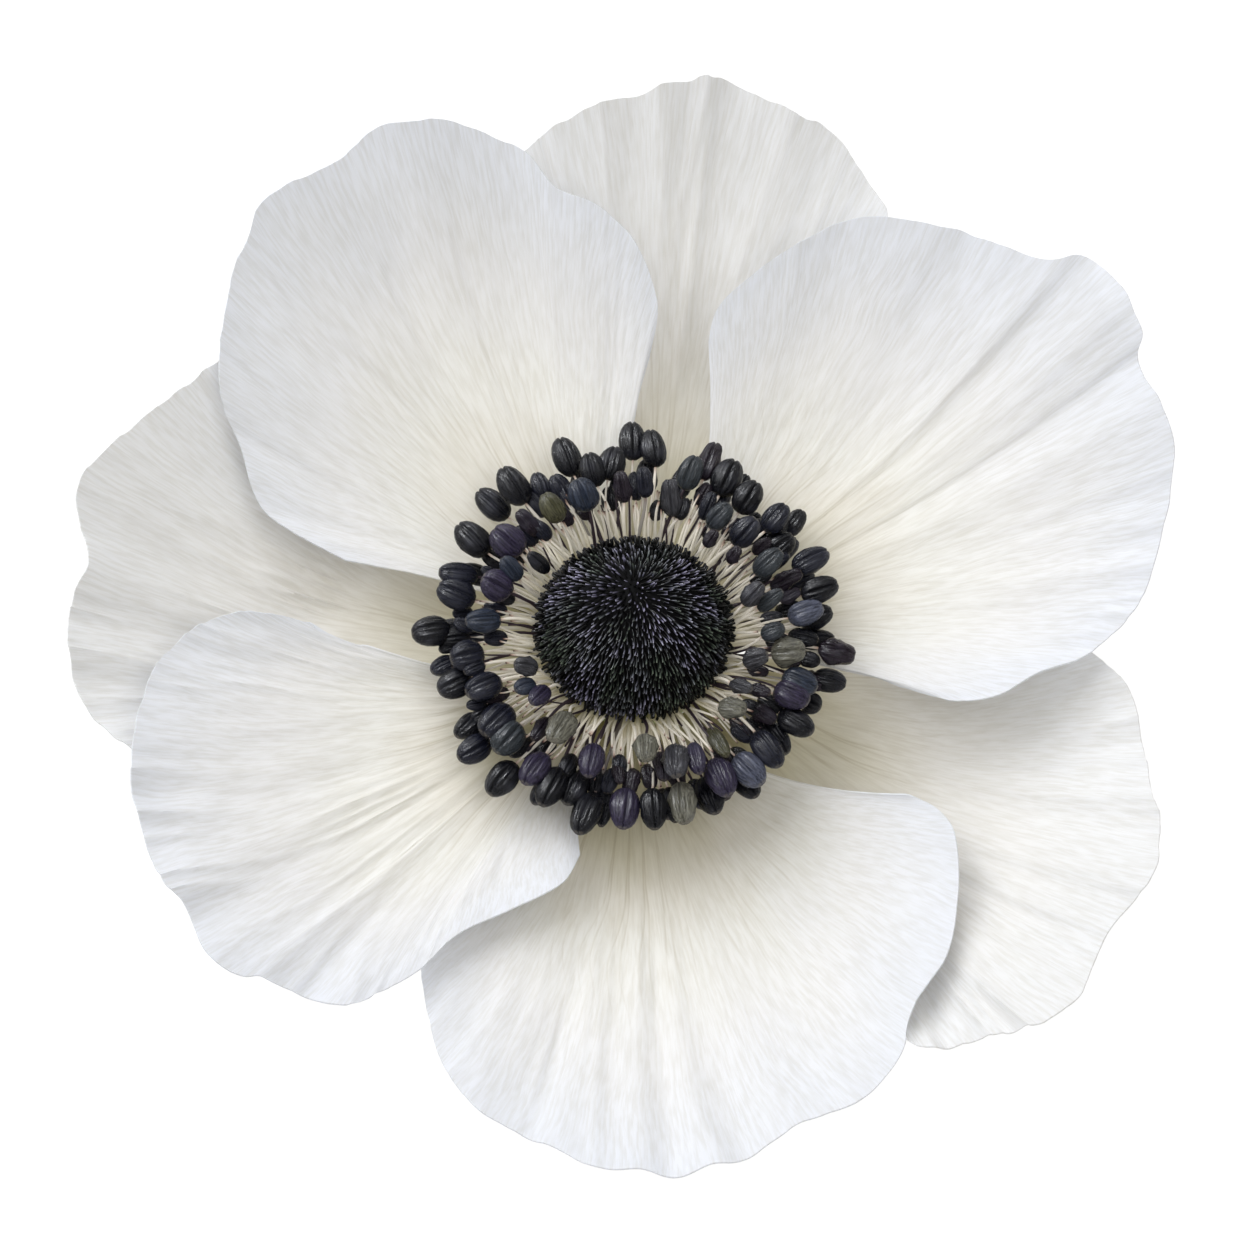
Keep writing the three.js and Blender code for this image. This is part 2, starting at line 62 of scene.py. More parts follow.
# Camera, as the photo was taken: nearly face on, from a long way off. Then the floor, and the photo's scale.
VIEW_RISE = math.radians(68)  # above the horizon
VIEW_WIDTH = 90.3  # across the picture, at the level of the dome's middle
VIEW_DISTANCE = 3000  # from the dome's middle
VIEW_CENTRE = (-0.5, 0.155)  # from the flower's axis
SENSOR = 36
CLIP = (0.05, 20)  # nearest and furthest that the camera sees, in metres
FLOOR_HALF = 4.0  # half the floor's side, in metres
FLOOR_GAP = 0.02  # the floor lies this far under the flower, so that they don't share a face
PHOTO_PIXEL = 0.072  # what a pixel of the photo spans
PHOTO_AXIS = (634, 629)  # the dome's middle in the photo, in pixels

NODE_FAMILIES = {
    "SHADER": ["ShaderNode"],
    "GEOMETRY": ["GeometryNode", "FunctionNode", "ShaderNode", "Node"],
}
DRIFT_GRID = 97  # steps before the seeded noise repeats
TINY = 1e-12  # keeps a divisor above nought

# Seeds of the random draws
PETAL_SEEDS = range(100, 240, 20)  # one for each petal
DOME_SEED = 71
STYLE_SEED = 11
FRINGE_SEED = 12
TINT_SEED = 5
STAMEN_SEED = 23
FORM_SEED = 40
STEM_SEED = 5

# Petals, with the values that the solids were made with
BLADE = 0.6  # thickness of the solids
CLAW_RADIUS = 5.3  # where a petal's narrow base meets the receptacle
CLAW = (-27, 27)  # how far round that base reaches, in degrees
VEIN_BEND = 0.16  # how far the veins bow towards the petal's own direction
MARGIN_ROUNDS = 6  # rounds in which a margin's place and height settle
FLAT_BLEND = 0.25  # depth over which a sagging petal turns into its flat resting spot
LIFT_POWER = 2  # how late the lift of a margin sets in on the way out from the base
PLEAT_POWER = 1.5  # the same for the pleats
RISE_SPAN = 20  # a layer's rise is given for this distance
SIDE_FLAT = 0.8  # a petal's curl eases off from here to its side
HIGH = 15.4  # and its rise from this height
HIGH_SHARE = 0.6  # what is left of the rise past it
BACK_LAYER = {"lowest": -0.3, "at": 18, "inner": 7.2, "outer": 9, "power": 1.6}
MIDDLE_LAYER = {"lowest": 2.7, "at": 15, "inner": 5, "outer": 5.6, "power": 1.8}
FRONT_LAYER = {"lowest": 4.3, "at": 13, "inner": 4.7, "outer": 5.2, "power": 2}

# The finer sheet of a petal
COLUMNS = 280  # steps across
ROWS = 72  # steps from base to margin
SHARP = math.radians(50)  # edges sharper than this stay crisp
THICK = 0.3  # over most of the petal
THIN = 0.12  # at its margin
THIN_FROM = 0.9  # share of the way out where it starts to thin
THIN_SIDE = 0.06  # share of the way across where the sides thin out
FOLDED = 60  # columns at each side that may fold back over the petal
EVENING = [0.1, 0.2, 0.4, 0.2, 0.1]  # evens out where the rows end, over the rows beside each

# Folds of the sheet: steps across, steps along, height, and how late it sets in
FOLDS = [(11, 1.5, 0.32, 2.4), (24, 2.2, 0.26, 2.0), (50, 4, 0.15, 1.7), (90, 7, 0.04, 1.2)]
UNEVEN = [(3, 3, 0.25, 1), (9, 5, 0.12, 1.2), (26, 14, 0.02, 0.5)]
PLEAT_SHARE = 0.4  # the pleats of the solids, softened, since the fine folds take up the rest
CREST = 0.8  # under 1 for folds with sharp crests
CREST_LEVEL = 0.8  # height of a crest over the sheet, as a share of the fold's
CREASE_SIDES = 1.3  # under 2 for a crease with a sharp ridge
CREASE_GROWTH = 1.2  # how late a crease grows to its full height
SIDE_CALM = 0.14  # share of the way across where the folds calm down towards the side
CALM_LEAST = 0.25  # what is left of them there
PATCHY_MEAN = 0.9  # the folds' strength, which varies in patches
PATCHY_RANGE = (0.45, 1.5)
RUFFLE = (22, 0.16, 7)  # steps across, height, and how late it sets in
NICKS = (60, 0.0025)  # steps across, and depth as a share of the petal's reach
MARGIN_INSET = 0.002  # keeps the sheet just inside the solid's outline

# Smooth wandering: steps across, steps along, and strength
FOLD_SWAY = [(4, 3, 0.025)]
PATCHES = [(7, 4, 1)]
FIBRE_SWAY = [(7, 5, 0.006), (16, 12, 0.002)]
CLOUDS = [(6, 5, 0.6), (17, 11, 0.4)]
VEIN_SWAY = [(4, 6, 0.025)]
VEIN_PATCHES = [(11, 8, 1.1)]

# Petal finish
FIBRE_STEP = 0.28  # from one fibre to the next
FIBRE_ROWS = 15.0  # lengths of a fibre from base to margin
VEINS = 19.0  # to a petal, before they fork
VEINS_SHOWN = 0.7  # their strength, which varies in patches
# Tones from base to margin. The dark khaki at the base is partly the petal's own tint and partly painted
# shade under the stamens.
FRONT_TONES = [
    (0, "#a9a071"), (0.2, "#e2dcc4"), (0.34, "#f5f1e6"), (0.5, "#faf9f4"), (0.72, "#f9f9fa"),
    (1, "#f5f8ff"),
]
# The petals that lie underneath: the same tones a little darker over their inner half, which is painted shade
# from the petals over them.
BACK_TONES_SHADED = [
    (0, "#a39b6e"), (0.2, "#dcd6bc"), (0.36, "#f0ece0"), (0.55, "#f9f7f3"), (0.78, "#fafafa"),
    (1, "#f9fafc"),
]

# Dome of styles
DOME_WIDE = 7.2
DOME_DEEP = 6.7
DOME_TALL = 6
DOME_CENTRE = 9.6
DOME_FOOT = 7.6
DOME_AROUND = 96  # steps round it
DOME_RINGS = 40
DOME_ROUGH = 0.012  # as a share of its radius
WHORL_OFFSET = 1.2  # the whorl lies a little behind the dome's highest point
STYLE_ROOM = 0.5  # the flesh stays this far inside the solid, so that the styles have room
STYLE_LEAN = 1.9  # sideways, for each 1 outwards
STYLE_DENSITY = 3e7  # to a square metre, before those nearer than their spacing go
STYLE_STRAY = 0.5  # either way, in the same measure
STYLE_SIZES = (0.65, 1.3)  # share of their length and width
LEAST_LEAN = 0.3  # share of the lean that is left at the whorl
FULL_LEAN = 3.0  # a style leans in full from this far off the whorl
FRINGE_LEAN = 0.3
FRINGE_TOP = 2.6  # where the fringe ends, along the line of sight from the dome's centre
FRINGE_FOOT = 0.3  # where it starts, above the dome's foot
FAR = 1000.0  # past every style
OVERLAP = 0.5  # the styles reach this far down into the fringe
STYLES = {"Spacing": 0.25, "Length": 0.8, "Radius": 0.058, "Lowest": FRINGE_TOP - OVERLAP, "Highest": FAR}
FRINGE = {"Spacing": 0.32, "Length": 0.58, "Radius": 0.1, "Lowest": -FAR, "Highest": FRINGE_TOP}

# Stamens. Levels and slopes go by the radius at an anther's middle.
ANTHER_LEVELS = ([7.6, 9, 10.5, 12.5, 15], [12.6, 12.1, 11.2, 9.9, 8.2])
ANTHER_SLOPES = ([8, 10, 12, 15], [0.6, 0.4, 0.2, 0.0])
SLOPE_STRAY = 0.12  # either way
LEVEL_ROUNDS = 6  # rounds in which an anther's level settles
SLOPE_ROUNDS = 4  # and those for how far it reaches back
LAYER_DROP = 1.3  # how far each layer of anthers lies under the next
ANTHER_ROLL = 0.35  # radians either way
ANTHER_THICK = 0.85  # share of its width
HIDDEN_ANTHERS = 72
HIDDEN_RING = (9.4, 13.4)
HIDDEN_DROP = (1.7, 2.6)
HIDDEN_RISE = 0.1
HIDDEN_SIZE = (2.7, 1.6)  # length and width of an outer one
HIDDEN_SMALL = 0.6  # share of that for an inner one
BARE_FILAMENTS = 300
BARE_RING = (8.6, 11.8)
BARE_DROP = (1.2, 2.6)
BARE_RISE = 0.5
BARE_THICK = 0.8
FILAMENT_STEPS = 10
FILAMENT_SIDES = 7
FILAMENT_FLAT = 0.65  # its thickness as a share of its width
FILAMENT_HALF = (0.12, 0.19)  # half its width, at the root
FILAMENT_TAPER = 0.45
FILAMENT_SWAY = 0.3
FILAMENT_SUNK = 0.25  # how far it reaches into its anther
ROOT_RADIUS = 5.7
ROOT_LEVELS = (6.4, 7.2)
ROOT_BEND = (1.6, 2)  # a filament heads this far out and up from its root
FOOT_BEND = 1.2  # and points at its anther from this far off

# One anther: where its points lie round it, in degrees, with more of them at its grooves, and the grooves,
# as place, half width and depth. The deep groove is at 90 degrees.
ANTHER_SIDES = [
    0, 17, 25, 32, 39, 48, 54, 60, 66, 75, 83, 90, 97, 105, 114, 120, 126, 132, 141, 148, 155, 163, 180,
    215, 255, 270, 285, 325,
]
ANTHER_RINGS = 9
ANTHER_ENDS = 2.3  # higher for blunter ends
ANTHER_TAPER = 0.1  # it is this much slimmer towards its tip
ANTHER_SQUASH = 0.12  # and this much wider over its two halves
GROOVE_FADE = 0.5  # what the grooves lose by the ends
TIP_HOLLOW = [0.46, 0, -0.06]  # the middle of its tip
GROOVES = [(90, 8, 0.5), (270, 10, 0.35), (32, 6, 0.05), (60, 6, 0.12), (120, 6, 0.12), (148, 6, 0.05)]
NOTCH = (90, 16, 0.16)  # at the tip, in the same way
FORMS = {"plump": (1, 0.03), "slender": (0.92, 0.05), "shrunken": (0.95, 0.2)}  # girth and crumpling

# Receptacle, as radius and height
STEM_PROFILE = [
    (2.2, 0.5), (2.3, 0.9), (2.35, 1.4), (2.7, 1.9), (3.6, 2.35), (4.7, 2.7), (5.25, 3.2), (5.35, 3.9),
    (5.4, 4.8), (5.3, 5.5), (5.0, 5.9), (5.8, 6.2), (6.0, 6.7), (5.5, 7.2), (4.0, 7.4), (3.0, 7.5),
]
STEM_AROUND = 96  # steps round it
STEM_RINGS = 49
STEM_TOP = 3  # the stem's ribs end at this height
STEM_RIBS = 9
RIB_HEIGHT = 0.02  # as a share of the radius
STEM_ROUGH = 0.01
CUT_DENT = 0.03  # the middle of the cut end is hollowed this deep

# Petals: each margin runs anticlockwise as x, height in the picture, and lift. A pleat has its place across,
# half width and height, as the solids have it. A crease has its place, two half widths, height, and the share
# of the way out where it begins. "crinkle" gives the folds' strength at places across.
PETALS = [
    {
        "name": "petal_upper_left",
        "layer": FRONT_LAYER,
        "facing": 126,
        "trough": 0.52,
        "cup": 1.2,
        "margin": [
            (1.2, 19.8, 1.2), (1.7, 23.4, 2), (0.4, 27.5, 2.6), (-2.4, 30.5, 2.4), (-5.8, 32, 1.6),
            (-8.1, 34.6, 0.8), (-12.9, 36.5, 0.4), (-16.8, 36.8, 0.6), (-19.4, 36, 0), (-21.3, 34, -0.4),
            (-24, 32.8, 0.3), (-26.9, 31, 0.2), (-28.1, 27.9, -0.6), (-29.2, 25.3, -0.6),
            (-29.9, 20.9, -0.2), (-29.9, 16.6, -0.8), (-28.4, 13.2, -1.2), (-27.3, 9.4, -1.6),
            (-24.6, 7.1, -1), (-20.8, 5.1, -0.4),
        ],
        "pleats": [
            (0.2, 0.05, 0.5), (0.34, 0.05, -0.4), (0.46, 0.05, 0.4), (0.68, 0.05, 0.9), (0.9, 0.04, 0.5),
        ],
        "creases": [
            (0.63, 0.03, 0.014, 0.6, 0.45), (0.87, 0.02, 0.03, 0.3, 0.5), (0.25, 0.02, 0.04, 0.4, 0.4),
        ],
        "crinkle": ([0, 0.25, 0.4, 0.6, 0.75, 1], [0.5, 0.9, 0.6, 1.1, 0.6, 0.6]),
    },
    {
        "name": "petal_top",
        "layer": BACK_LAYER,
        "facing": 82,
        "trough": 0.5,
        "cup": 1,
        "margin": [
            (14.8, 20.2, 0), (18.1, 26.3, 0.4), (18.4, 30.1, 0.6), (16.8, 32.7, 0), (14.5, 35.9, -0.4),
            (12, 37.3, 0.2), (7.3, 39.6, -0.4), (5.6, 40.2, 0.5), (4, 39.7, -0.3), (2.1, 39.6, 0.6),
            (0.4, 38.7, -0.3), (-2.4, 38.1, 0.3), (-5.9, 36.4, 0), (-7.6, 34.8, -0.2), (-9.6, 33.1, 0.2),
            (-10.5, 28.8, 0.4), (-9.6, 23, 0.2), (-7.1, 18, 0),
        ],
        "pleats": [
            (0.3, 0.05, 0.7), (0.42, 0.04, -0.5), (0.5, 0.035, 0.6), (0.58, 0.035, -0.4), (0.68, 0.05, 0.4),
        ],
        "creases": [
            (0.36, 0.03, 0.014, 0.4, 0.4), (0.5, 0.02, 0.012, 0.25, 0.5), (0.45, 0.012, 0.02, 0.2, 0.5),
        ],
        "crinkle": ([0, 1], [0.95, 0.8]),
    },
    {
        "name": "petal_upper_right",
        "layer": FRONT_LAYER,
        "facing": 32,
        "trough": 0.5,
        "cup": 1.4,
        "margin": [
            (19.2, -4.1, 0.6), (23.1, -5, 1.2), (26.4, -4.5, 1.4), (29.2, -3, 1), (32.8, -1.5, 0.2),
            (36.4, 1.9, -0.6), (38.2, 7.6, -0.4), (39, 13, 0.2), (37.9, 16.6, 0.7), (36.4, 19.3, -0.6),
            (36.7, 21.4, 0.3), (35.4, 24.7, 0.8), (32.8, 26.9, -0.4), (29.7, 26.7, 0.4), (25.3, 28.3, 0),
            (21.3, 29.2, 0.3), (16.3, 29.8, 0.9), (11.2, 27.4, 1.8), (6.6, 23.8, 2.2), (5.4, 20.9, 1.6),
            (5.6, 18.7, 1),
        ],
        "pleats": [
            (0.28, 0.05, 0.5), (0.38, 0.045, -0.5), (0.46, 0.035, 0.7), (0.52, 0.03, -0.5),
            (0.58, 0.035, 0.8), (0.66, 0.04, -0.5), (0.74, 0.05, 0.4),
        ],
        "creases": [
            (0.59, 0.022, 0.03, 0.32, 0.3), (0.51, 0.018, 0.02, 0.28, 0.45), (0.66, 0.01, 0.02, 0.2, 0.4),
            (0.45, 0.01, 0.02, 0.2, 0.3), (0.3, 0.012, 0.02, 0.3, 0.5), (0.375, 0.01, 0.02, 0.2, 0.5),
        ],
        "crinkle": ([0, 0.2, 0.3, 0.45, 0.7, 0.8, 1], [0.3, 0.5, 0.9, 0.5, 0.6, 0.5, 0.4]),
    },
    {
        "name": "petal_lower_right",
        "layer": BACK_LAYER,
        "facing": -30,
        "trough": 0.38,
        "cup": 1,
        "margin": [
            (11.2, -17.3, 0), (14.1, -23, 0.2), (17, -27.7, 0), (19.9, -29.7, 0.2), (21.7, -30, 0),
            (25.6, -29.3, -0.4), (29.2, -28.2, 0.4), (32.1, -26.1, 0.2), (33.1, -23.8, -0.6),
            (34.6, -21, 0.4), (37.3, -17.6, 0.7), (37.9, -14.4, -0.2), (37.3, -11.2, 0.4),
            (36.7, -8.3, -0.3), (36.1, -5, 0.2), (33.8, -2.2, 0.4), (30.7, -0.3, 0.2), (26.4, 0.4, 0),
            (21.3, 0, 0),
        ],
        "pleats": [
            (0.28, 0.04, -0.4), (0.38, 0.04, 0.6), (0.5, 0.04, -0.6), (0.6, 0.05, 0.5), (0.72, 0.05, -0.3),
        ],
        "claw": (-27, 42),
        "creases": [(0.45, 0.012, 0.03, 0.6, 0.4), (0.54, 0.012, 0.03, 0.4, 0.4)],
        "crinkle": ([0, 0.35, 0.65, 1], [0.9, 1.4, 1.0, 0.8]),
    },
    {
        "name": "petal_bottom",
        "layer": MIDDLE_LAYER,
        "facing": -82,
        "trough": 0.5,
        "cup": 1,
        "margin": [
            (-11.1, -16.6, -0.6), (-14.5, -20.2, -0.8), (-15.4, -24.3, -0.8), (-14, -30.6, 0),
            (-11.4, -34.2, 0.3), (-7.8, -36.4, -0.3), (-6, -36.9, 0.4), (-2.8, -38.6, -0.2),
            (0.4, -38.6, 0.5), (3, -39.3, -0.3), (5.2, -38.5, 0.5), (8.2, -37.9, -0.4), (12, -35.4, 0.4),
            (16.4, -33.7, 0), (19.2, -30.4, -0.3), (20, -27.4, 0.3), (22.7, -23, 0.4), (23.4, -18, 0.8),
            (22.8, -14.1, 1.4), (20.2, -12.2, 1.8), (16.3, -12.2, 1.6), (13, -11.2, 1),
        ],
        "pleats": [
            (0.2, 0.04, 0.4), (0.28, 0.035, -0.4), (0.36, 0.035, 0.6), (0.43, 0.03, -0.4),
            (0.5, 0.035, 0.5), (0.57, 0.035, -0.5), (0.65, 0.04, 0.6), (0.78, 0.05, -0.3),
        ],
        "claw": (-42, 27),
        "creases": [(0.34, 0.012, 0.02, 0.4, 0.4), (0.46, 0.012, 0.02, 0.4, 0.4)],
        "crinkle": ([0, 0.2, 0.5, 0.65, 0.75, 1], [0.35, 0.75, 0.85, 0.6, 0.3, 0.25]),
    },
    {
        "name": "petal_lower_left",
        "layer": FRONT_LAYER,
        "facing": 213,
        "trough": 0.5,
        "cup": 1.2,
        "margin": [
            (-19, -1.8, 0.6), (-23.3, 0.4, 1.2), (-26.2, 1.1, 1.5), (-29.2, 1.2, 1.2), (-32.3, -0.1, 0.6),
            (-34.8, -3.2, 0), (-36, -7.2, -0.3), (-36.2, -10.8, 0.3), (-35.4, -14.4, -0.3),
            (-33.8, -18, 0.3), (-32.1, -20.2, -0.4), (-30.9, -22.9, 0.4), (-28.5, -24.9, -0.4),
            (-26.8, -24.8, 0.4), (-24, -26.1, -0.2), (-20.8, -26.9, 0.4), (-17.9, -25.8, 0.2),
            (-15.4, -24.3, 0.5), (-12.9, -21.9, 0.8), (-8.9, -20, 1.2), (-5.3, -18.3, 1.4),
            (-3.9, -16.2, 0.9),
        ],
        "pleats": [
            (0.3, 0.045, 0.5), (0.39, 0.035, -0.4), (0.46, 0.035, 0.6), (0.53, 0.03, -0.5),
            (0.6, 0.035, 0.6), (0.68, 0.04, -0.4), (0.78, 0.06, 0.4),
        ],
        "claw": (-18, 27),
        "creases": [
            (0.6, 0.02, 0.012, 0.5, 0.35), (0.4, 0.02, 0.012, 0.3, 0.4), (0.5, 0.02, 0.012, 0.4, 0.4),
        ],
        "crinkle": ([0, 0.2, 0.3, 0.5, 0.6, 0.72, 1], [0.8, 1.7, 1.9, 1.5, 1.0, 0.7, 0.4]),
    },
    {
        "name": "petal_left",
        "layer": BACK_LAYER,
        "facing": 172,
        "trough": 0.62,
        "cup": 1,
        "margin": [
            (-19, 15.1, 0), (-24, 19.3, 0.2), (-27.6, 20, 0.3), (-30.9, 18.6, 0), (-34.8, 15.8, -0.3),
            (-38.4, 13, 0.3), (-40.2, 10.4, 0.5), (-39.9, 7.2, -0.3), (-39.4, 4.8, 0.4), (-40.5, 2.2, -0.4),
            (-40.8, -0.7, 0.3), (-39.7, -5, 0), (-36.3, -8.6, 0.2), (-32, -9.9, 0), (-25.5, -8.8, 0),
            (-19, -6.1, 0),
        ],
        "pleats": [
            (0.3, 0.05, 0.5), (0.42, 0.04, -0.5), (0.52, 0.04, 0.6), (0.62, 0.04, -0.4), (0.72, 0.05, 0.4),
        ],
        "creases": [(0.5, 0.02, 0.012, 0.5, 0.4), (0.6, 0.02, 0.012, 0.4, 0.4)],
        "crinkle": ([0, 0.3, 0.7, 1], [1.8, 2.6, 2.6, 1.8]),
    },
]

# The anthers that can be told apart, each as tip x, tip y, base x, base y and width in the photo's pixels,
# its tint, and how many layers lie over it.
ANTHERS = [
    (501, 467, 525, 504, 30, "black", 0), (477, 490, 508, 518, 25, "black", 1),
    (457, 524, 488, 554, 31, "black", 0), (493, 528, 522, 554, 31, "purple", 0),
    (502, 557, 520, 580, 20, "slate", 0), (528, 553, 549, 572, 16, "black", 0),
    (535, 472, 546, 500, 20, "navy", 1), (543, 493, 561, 522, 25, "olive", 0),
    (553, 474, 567, 500, 20, "navy", 1), (517, 510, 540, 535, 18, "plum", 1),
    (559, 437, 574, 476, 26, "black", 0), (588, 452, 597, 487, 25, "black", 0),
    (616, 446, 608, 480, 26, "black", 0), (632, 421, 633, 460, 25, "black", 0),
    (650, 429, 656, 467, 26, "black", 0), (576, 478, 590, 511, 30, "slate", 0),
    (620, 470, 625, 503, 18, "plum", 0), (643, 466, 646, 498, 18, "navy", 0),
    (669, 478, 673, 517, 20, "grey", 1), (697, 455, 684, 490, 25, "green", 0),
    (717, 442, 703, 480, 23, "plum", 0), (736, 459, 719, 496, 28, "black", 0),
    (748, 474, 738, 492, 14, "black", 2), (758, 481, 738, 513, 28, "black", 0),
    (731, 504, 709, 528, 24, "green", 0), (710, 483, 697, 505, 15, "plum", 1),
    (714, 491, 702, 520, 14, "navy", 1), (717, 530, 705, 547, 13, "plum", 0),
    (757, 518, 733, 545, 26, "navy", 0), (760, 513, 747, 527, 13, "black", 2),
    (787, 504, 765, 532, 25, "navy", 0), (804, 510, 785, 535, 22, "black", 1),
    (794, 535, 768, 556, 25, "black", 1), (740, 547, 728, 563, 14, "plum", 0),
    (782, 550, 755, 575, 23, "green", 0), (771, 539, 753, 554, 14, "plum", 1),
    (829, 551, 793, 570, 27, "navy", 0), (839, 583, 801, 596, 24, "black", 0),
    (803, 572, 770, 588, 18, "plum", 1), (763, 583, 743, 605, 19, "grey", 0),
    (783, 590, 758, 610, 17, "green", 0), (801, 590, 780, 602, 14, "plum", 1),
    (438, 572, 478, 577, 25, "navy", 0), (437, 586, 475, 602, 30, "navy", 0),
    (482, 577, 511, 593, 30, "purple", 0), (481, 568, 496, 576, 12, "navy", 1),
    (411, 634, 451, 629, 31, "black", 0), (452, 614, 473, 612, 14, "navy", 1),
    (465, 622, 501, 620, 27, "slate", 0), (453, 620, 476, 630, 15, "navy", 1),
    (441, 629, 461, 626, 13, "black", 1), (440, 639, 470, 636, 19, "black", 1),
    (439, 651, 458, 643, 14, "black", 1), (450, 660, 484, 652, 30, "navy", 0),
    (431, 672, 456, 660, 22, "navy", 1), (438, 692, 471, 676, 28, "black", 0),
    (464, 673, 485, 664, 14, "navy", 0), (466, 694, 501, 680, 31, "navy", 0),
    (514, 664, 538, 668, 20, "grey", 0), (515, 690, 535, 683, 18, "slate", 0),
    (531, 703, 548, 688, 18, "purple", 0), (456, 737, 481, 715, 24, "black", 1),
    (466, 706, 487, 703, 13, "navy", 1), (458, 759, 490, 740, 25, "navy", 0),
    (482, 734, 511, 707, 30, "navy", 0), (495, 752, 520, 724, 30, "green", 0),
    (489, 795, 516, 763, 30, "black", 0), (524, 784, 546, 754, 28, "purple", 0),
    (541, 806, 561, 768, 28, "black", 0), (566, 805, 582, 772, 25, "black", 1),
    (578, 834, 595, 793, 30, "black", 0), (532, 740, 549, 718, 15, "plum", 1),
    (552, 741, 570, 714, 28, "pale", 0), (588, 777, 595, 744, 24, "purple", 0),
    (601, 827, 608, 787, 18, "black", 1), (622, 829, 627, 788, 28, "purple", 0),
    (655, 830, 652, 788, 27, "black", 0), (685, 824, 680, 782, 27, "pale", 0),
    (676, 823, 668, 787, 17, "black", 1), (717, 814, 703, 777, 28, "black", 1),
    (729, 796, 713, 759, 28, "purple", 0), (676, 777, 675, 745, 27, "grey", 0),
    (664, 781, 660, 752, 17, "plum", 1), (700, 774, 692, 743, 19, "purple", 0),
    (646, 761, 645, 735, 24, "pale", 0), (620, 784, 617, 765, 12, "plum", 1),
    (824, 606, 788, 619, 27, "bright", 0), (833, 610, 800, 624, 22, "black", 1),
    (785, 627, 761, 636, 20, "green", 0), (819, 641, 788, 635, 18, "black", 1),
    (806, 650, 771, 654, 28, "pale", 0), (856, 657, 818, 648, 27, "plum", 0),
    (820, 663, 800, 657, 16, "black", 1), (768, 655, 743, 662, 21, "grey", 0),
    (817, 690, 783, 674, 27, "slate", 0), (847, 684, 812, 678, 24, "black", 1),
    (809, 703, 775, 687, 29, "purple", 0), (752, 690, 730, 683, 15, "grey", 0),
    (770, 694, 750, 687, 14, "plum", 0), (746, 710, 719, 706, 22, "pale", 0),
    (821, 708, 803, 700, 21, "black", 1), (813, 733, 779, 713, 26, "black", 0),
    (776, 722, 752, 708, 18, "plum", 1), (788, 754, 763, 723, 25, "black", 1),
    (780, 767, 755, 732, 29, "navy", 0), (763, 784, 735, 756, 31, "bright", 0),
    (757, 797, 738, 775, 22, "black", 1), (728, 757, 709, 728, 15, "olive", 1),
    (750, 735, 730, 718, 13, "plum", 2),
]
TINTS = {
    "black": "#101117", "navy": "#191b27", "slate": "#282f3d", "purple": "#302b3f", "plum": "#211a24",
    "grey": "#3a3a3f", "green": "#30353a", "olive": "#4a4936", "pale": "#67665c", "bright": "#4b4f5f",
}


def linear(code):
    """An sRGB hex colour as linear red, green, blue and alpha."""
    parts = [int(code[i : i + 2], 16) / 255 for i in (1, 3, 5)]
    return [c / 12.92 if c <= 0.04045 else ((c + 0.055) / 1.055) ** 2.4 for c in parts] + [1]


def add(tree, kind, sockets=None, **settings):
    """Adds a node with its settings, and puts a value or another node's output into its sockets. Its kind
    is its type without its family's name."""
    family = next(name for name in NODE_FAMILIES[tree.type] if hasattr(bpy.types, name + kind))
    made = tree.nodes.new(family + kind)
    for setting, value in settings.items():
        if setting == "stops":
            ramp = made.color_ramp
            while len(ramp.elements) < len(value):
                ramp.elements.new(1)
            for element, (place, colour) in zip(ramp.elements, value):
                element.position = place
                element.color = linear(colour)
        else:
            setattr(made, setting, value)
    for key, value in (sockets or {}).items():
        named = [socket for socket in made.inputs if socket.name == key and socket.enabled]
        socket = made.inputs[key] if isinstance(key, int) else named[0]
        if isinstance(value, bpy.types.Node):
            value = next(output for output in value.outputs if output.enabled)
        if isinstance(value, bpy.types.NodeSocket):
            tree.links.new(value, socket)
        else:
            socket.default_value = value
    return made


def new_material(name):
    """A material with an empty tree, and that tree."""
    material = bpy.data.materials.new(name)
    material.use_nodes = True
    material.node_tree.nodes.clear()
    return material, material.node_tree


def give_skin(tree, tone, values, through=0):
    """Ends a material with a skin of this tone, which may let a share of the light through."""
    skin = add(tree, "BsdfPrincipled", {"Base Color": tone, **values})
    if through:
        glow = add(tree, "BsdfTranslucent", {"Color": tone})
        skin = add(tree, "MixShader", {"Fac": through, 1: skin, 2: glow})
    add(tree, "OutputMaterial", {"Surface": skin})


def drift(u, v, seed):
    """Smooth seeded noise between -1 and 1, with a new value at each whole step of u and v."""
    grid = np.random.default_rng(seed).uniform(-1, 1, (DRIFT_GRID, DRIFT_GRID))
    i, j = np.floor(u).astype(int), np.floor(v).astype(int)
    s, t = (part**2 * (3 - 2 * part) for part in (u - i, v - j))
    here, beyond = i % DRIFT_GRID, (i + 1) % DRIFT_GRID
    near, far = (
        grid[here, row] * (1 - s) + grid[beyond, row] * s for row in (j % DRIFT_GRID, (j + 1) % DRIFT_GRID)
    )
    return near * (1 - t) + far * t


def wander(layers, across, along, seed):
    """Layers of smooth noise laid over each other, each with its own steps and strength."""
    return sum(
        strength * drift(across * steps, along * rows, seed + i)
        for i, (steps, rows, strength) in enumerate(layers)
    )


def ring_faces(around, rings):
    """Faces over rings of points, outwards where a ring runs anticlockwise and the next lies above it. The
    points end with the middle of the last ring, then that of the first, and a fan closes each."""
    faces = []
    for ring in range(rings):
        for k in range(around):
            a = ring * around + k
            b = ring * around + (k + 1) % around
            faces.append([a, b, rings * around] if ring == rings - 1 else [a, b, b + around, a + around])
            if ring == 0:
                faces.append([b, a, rings * around + 1])
    return faces


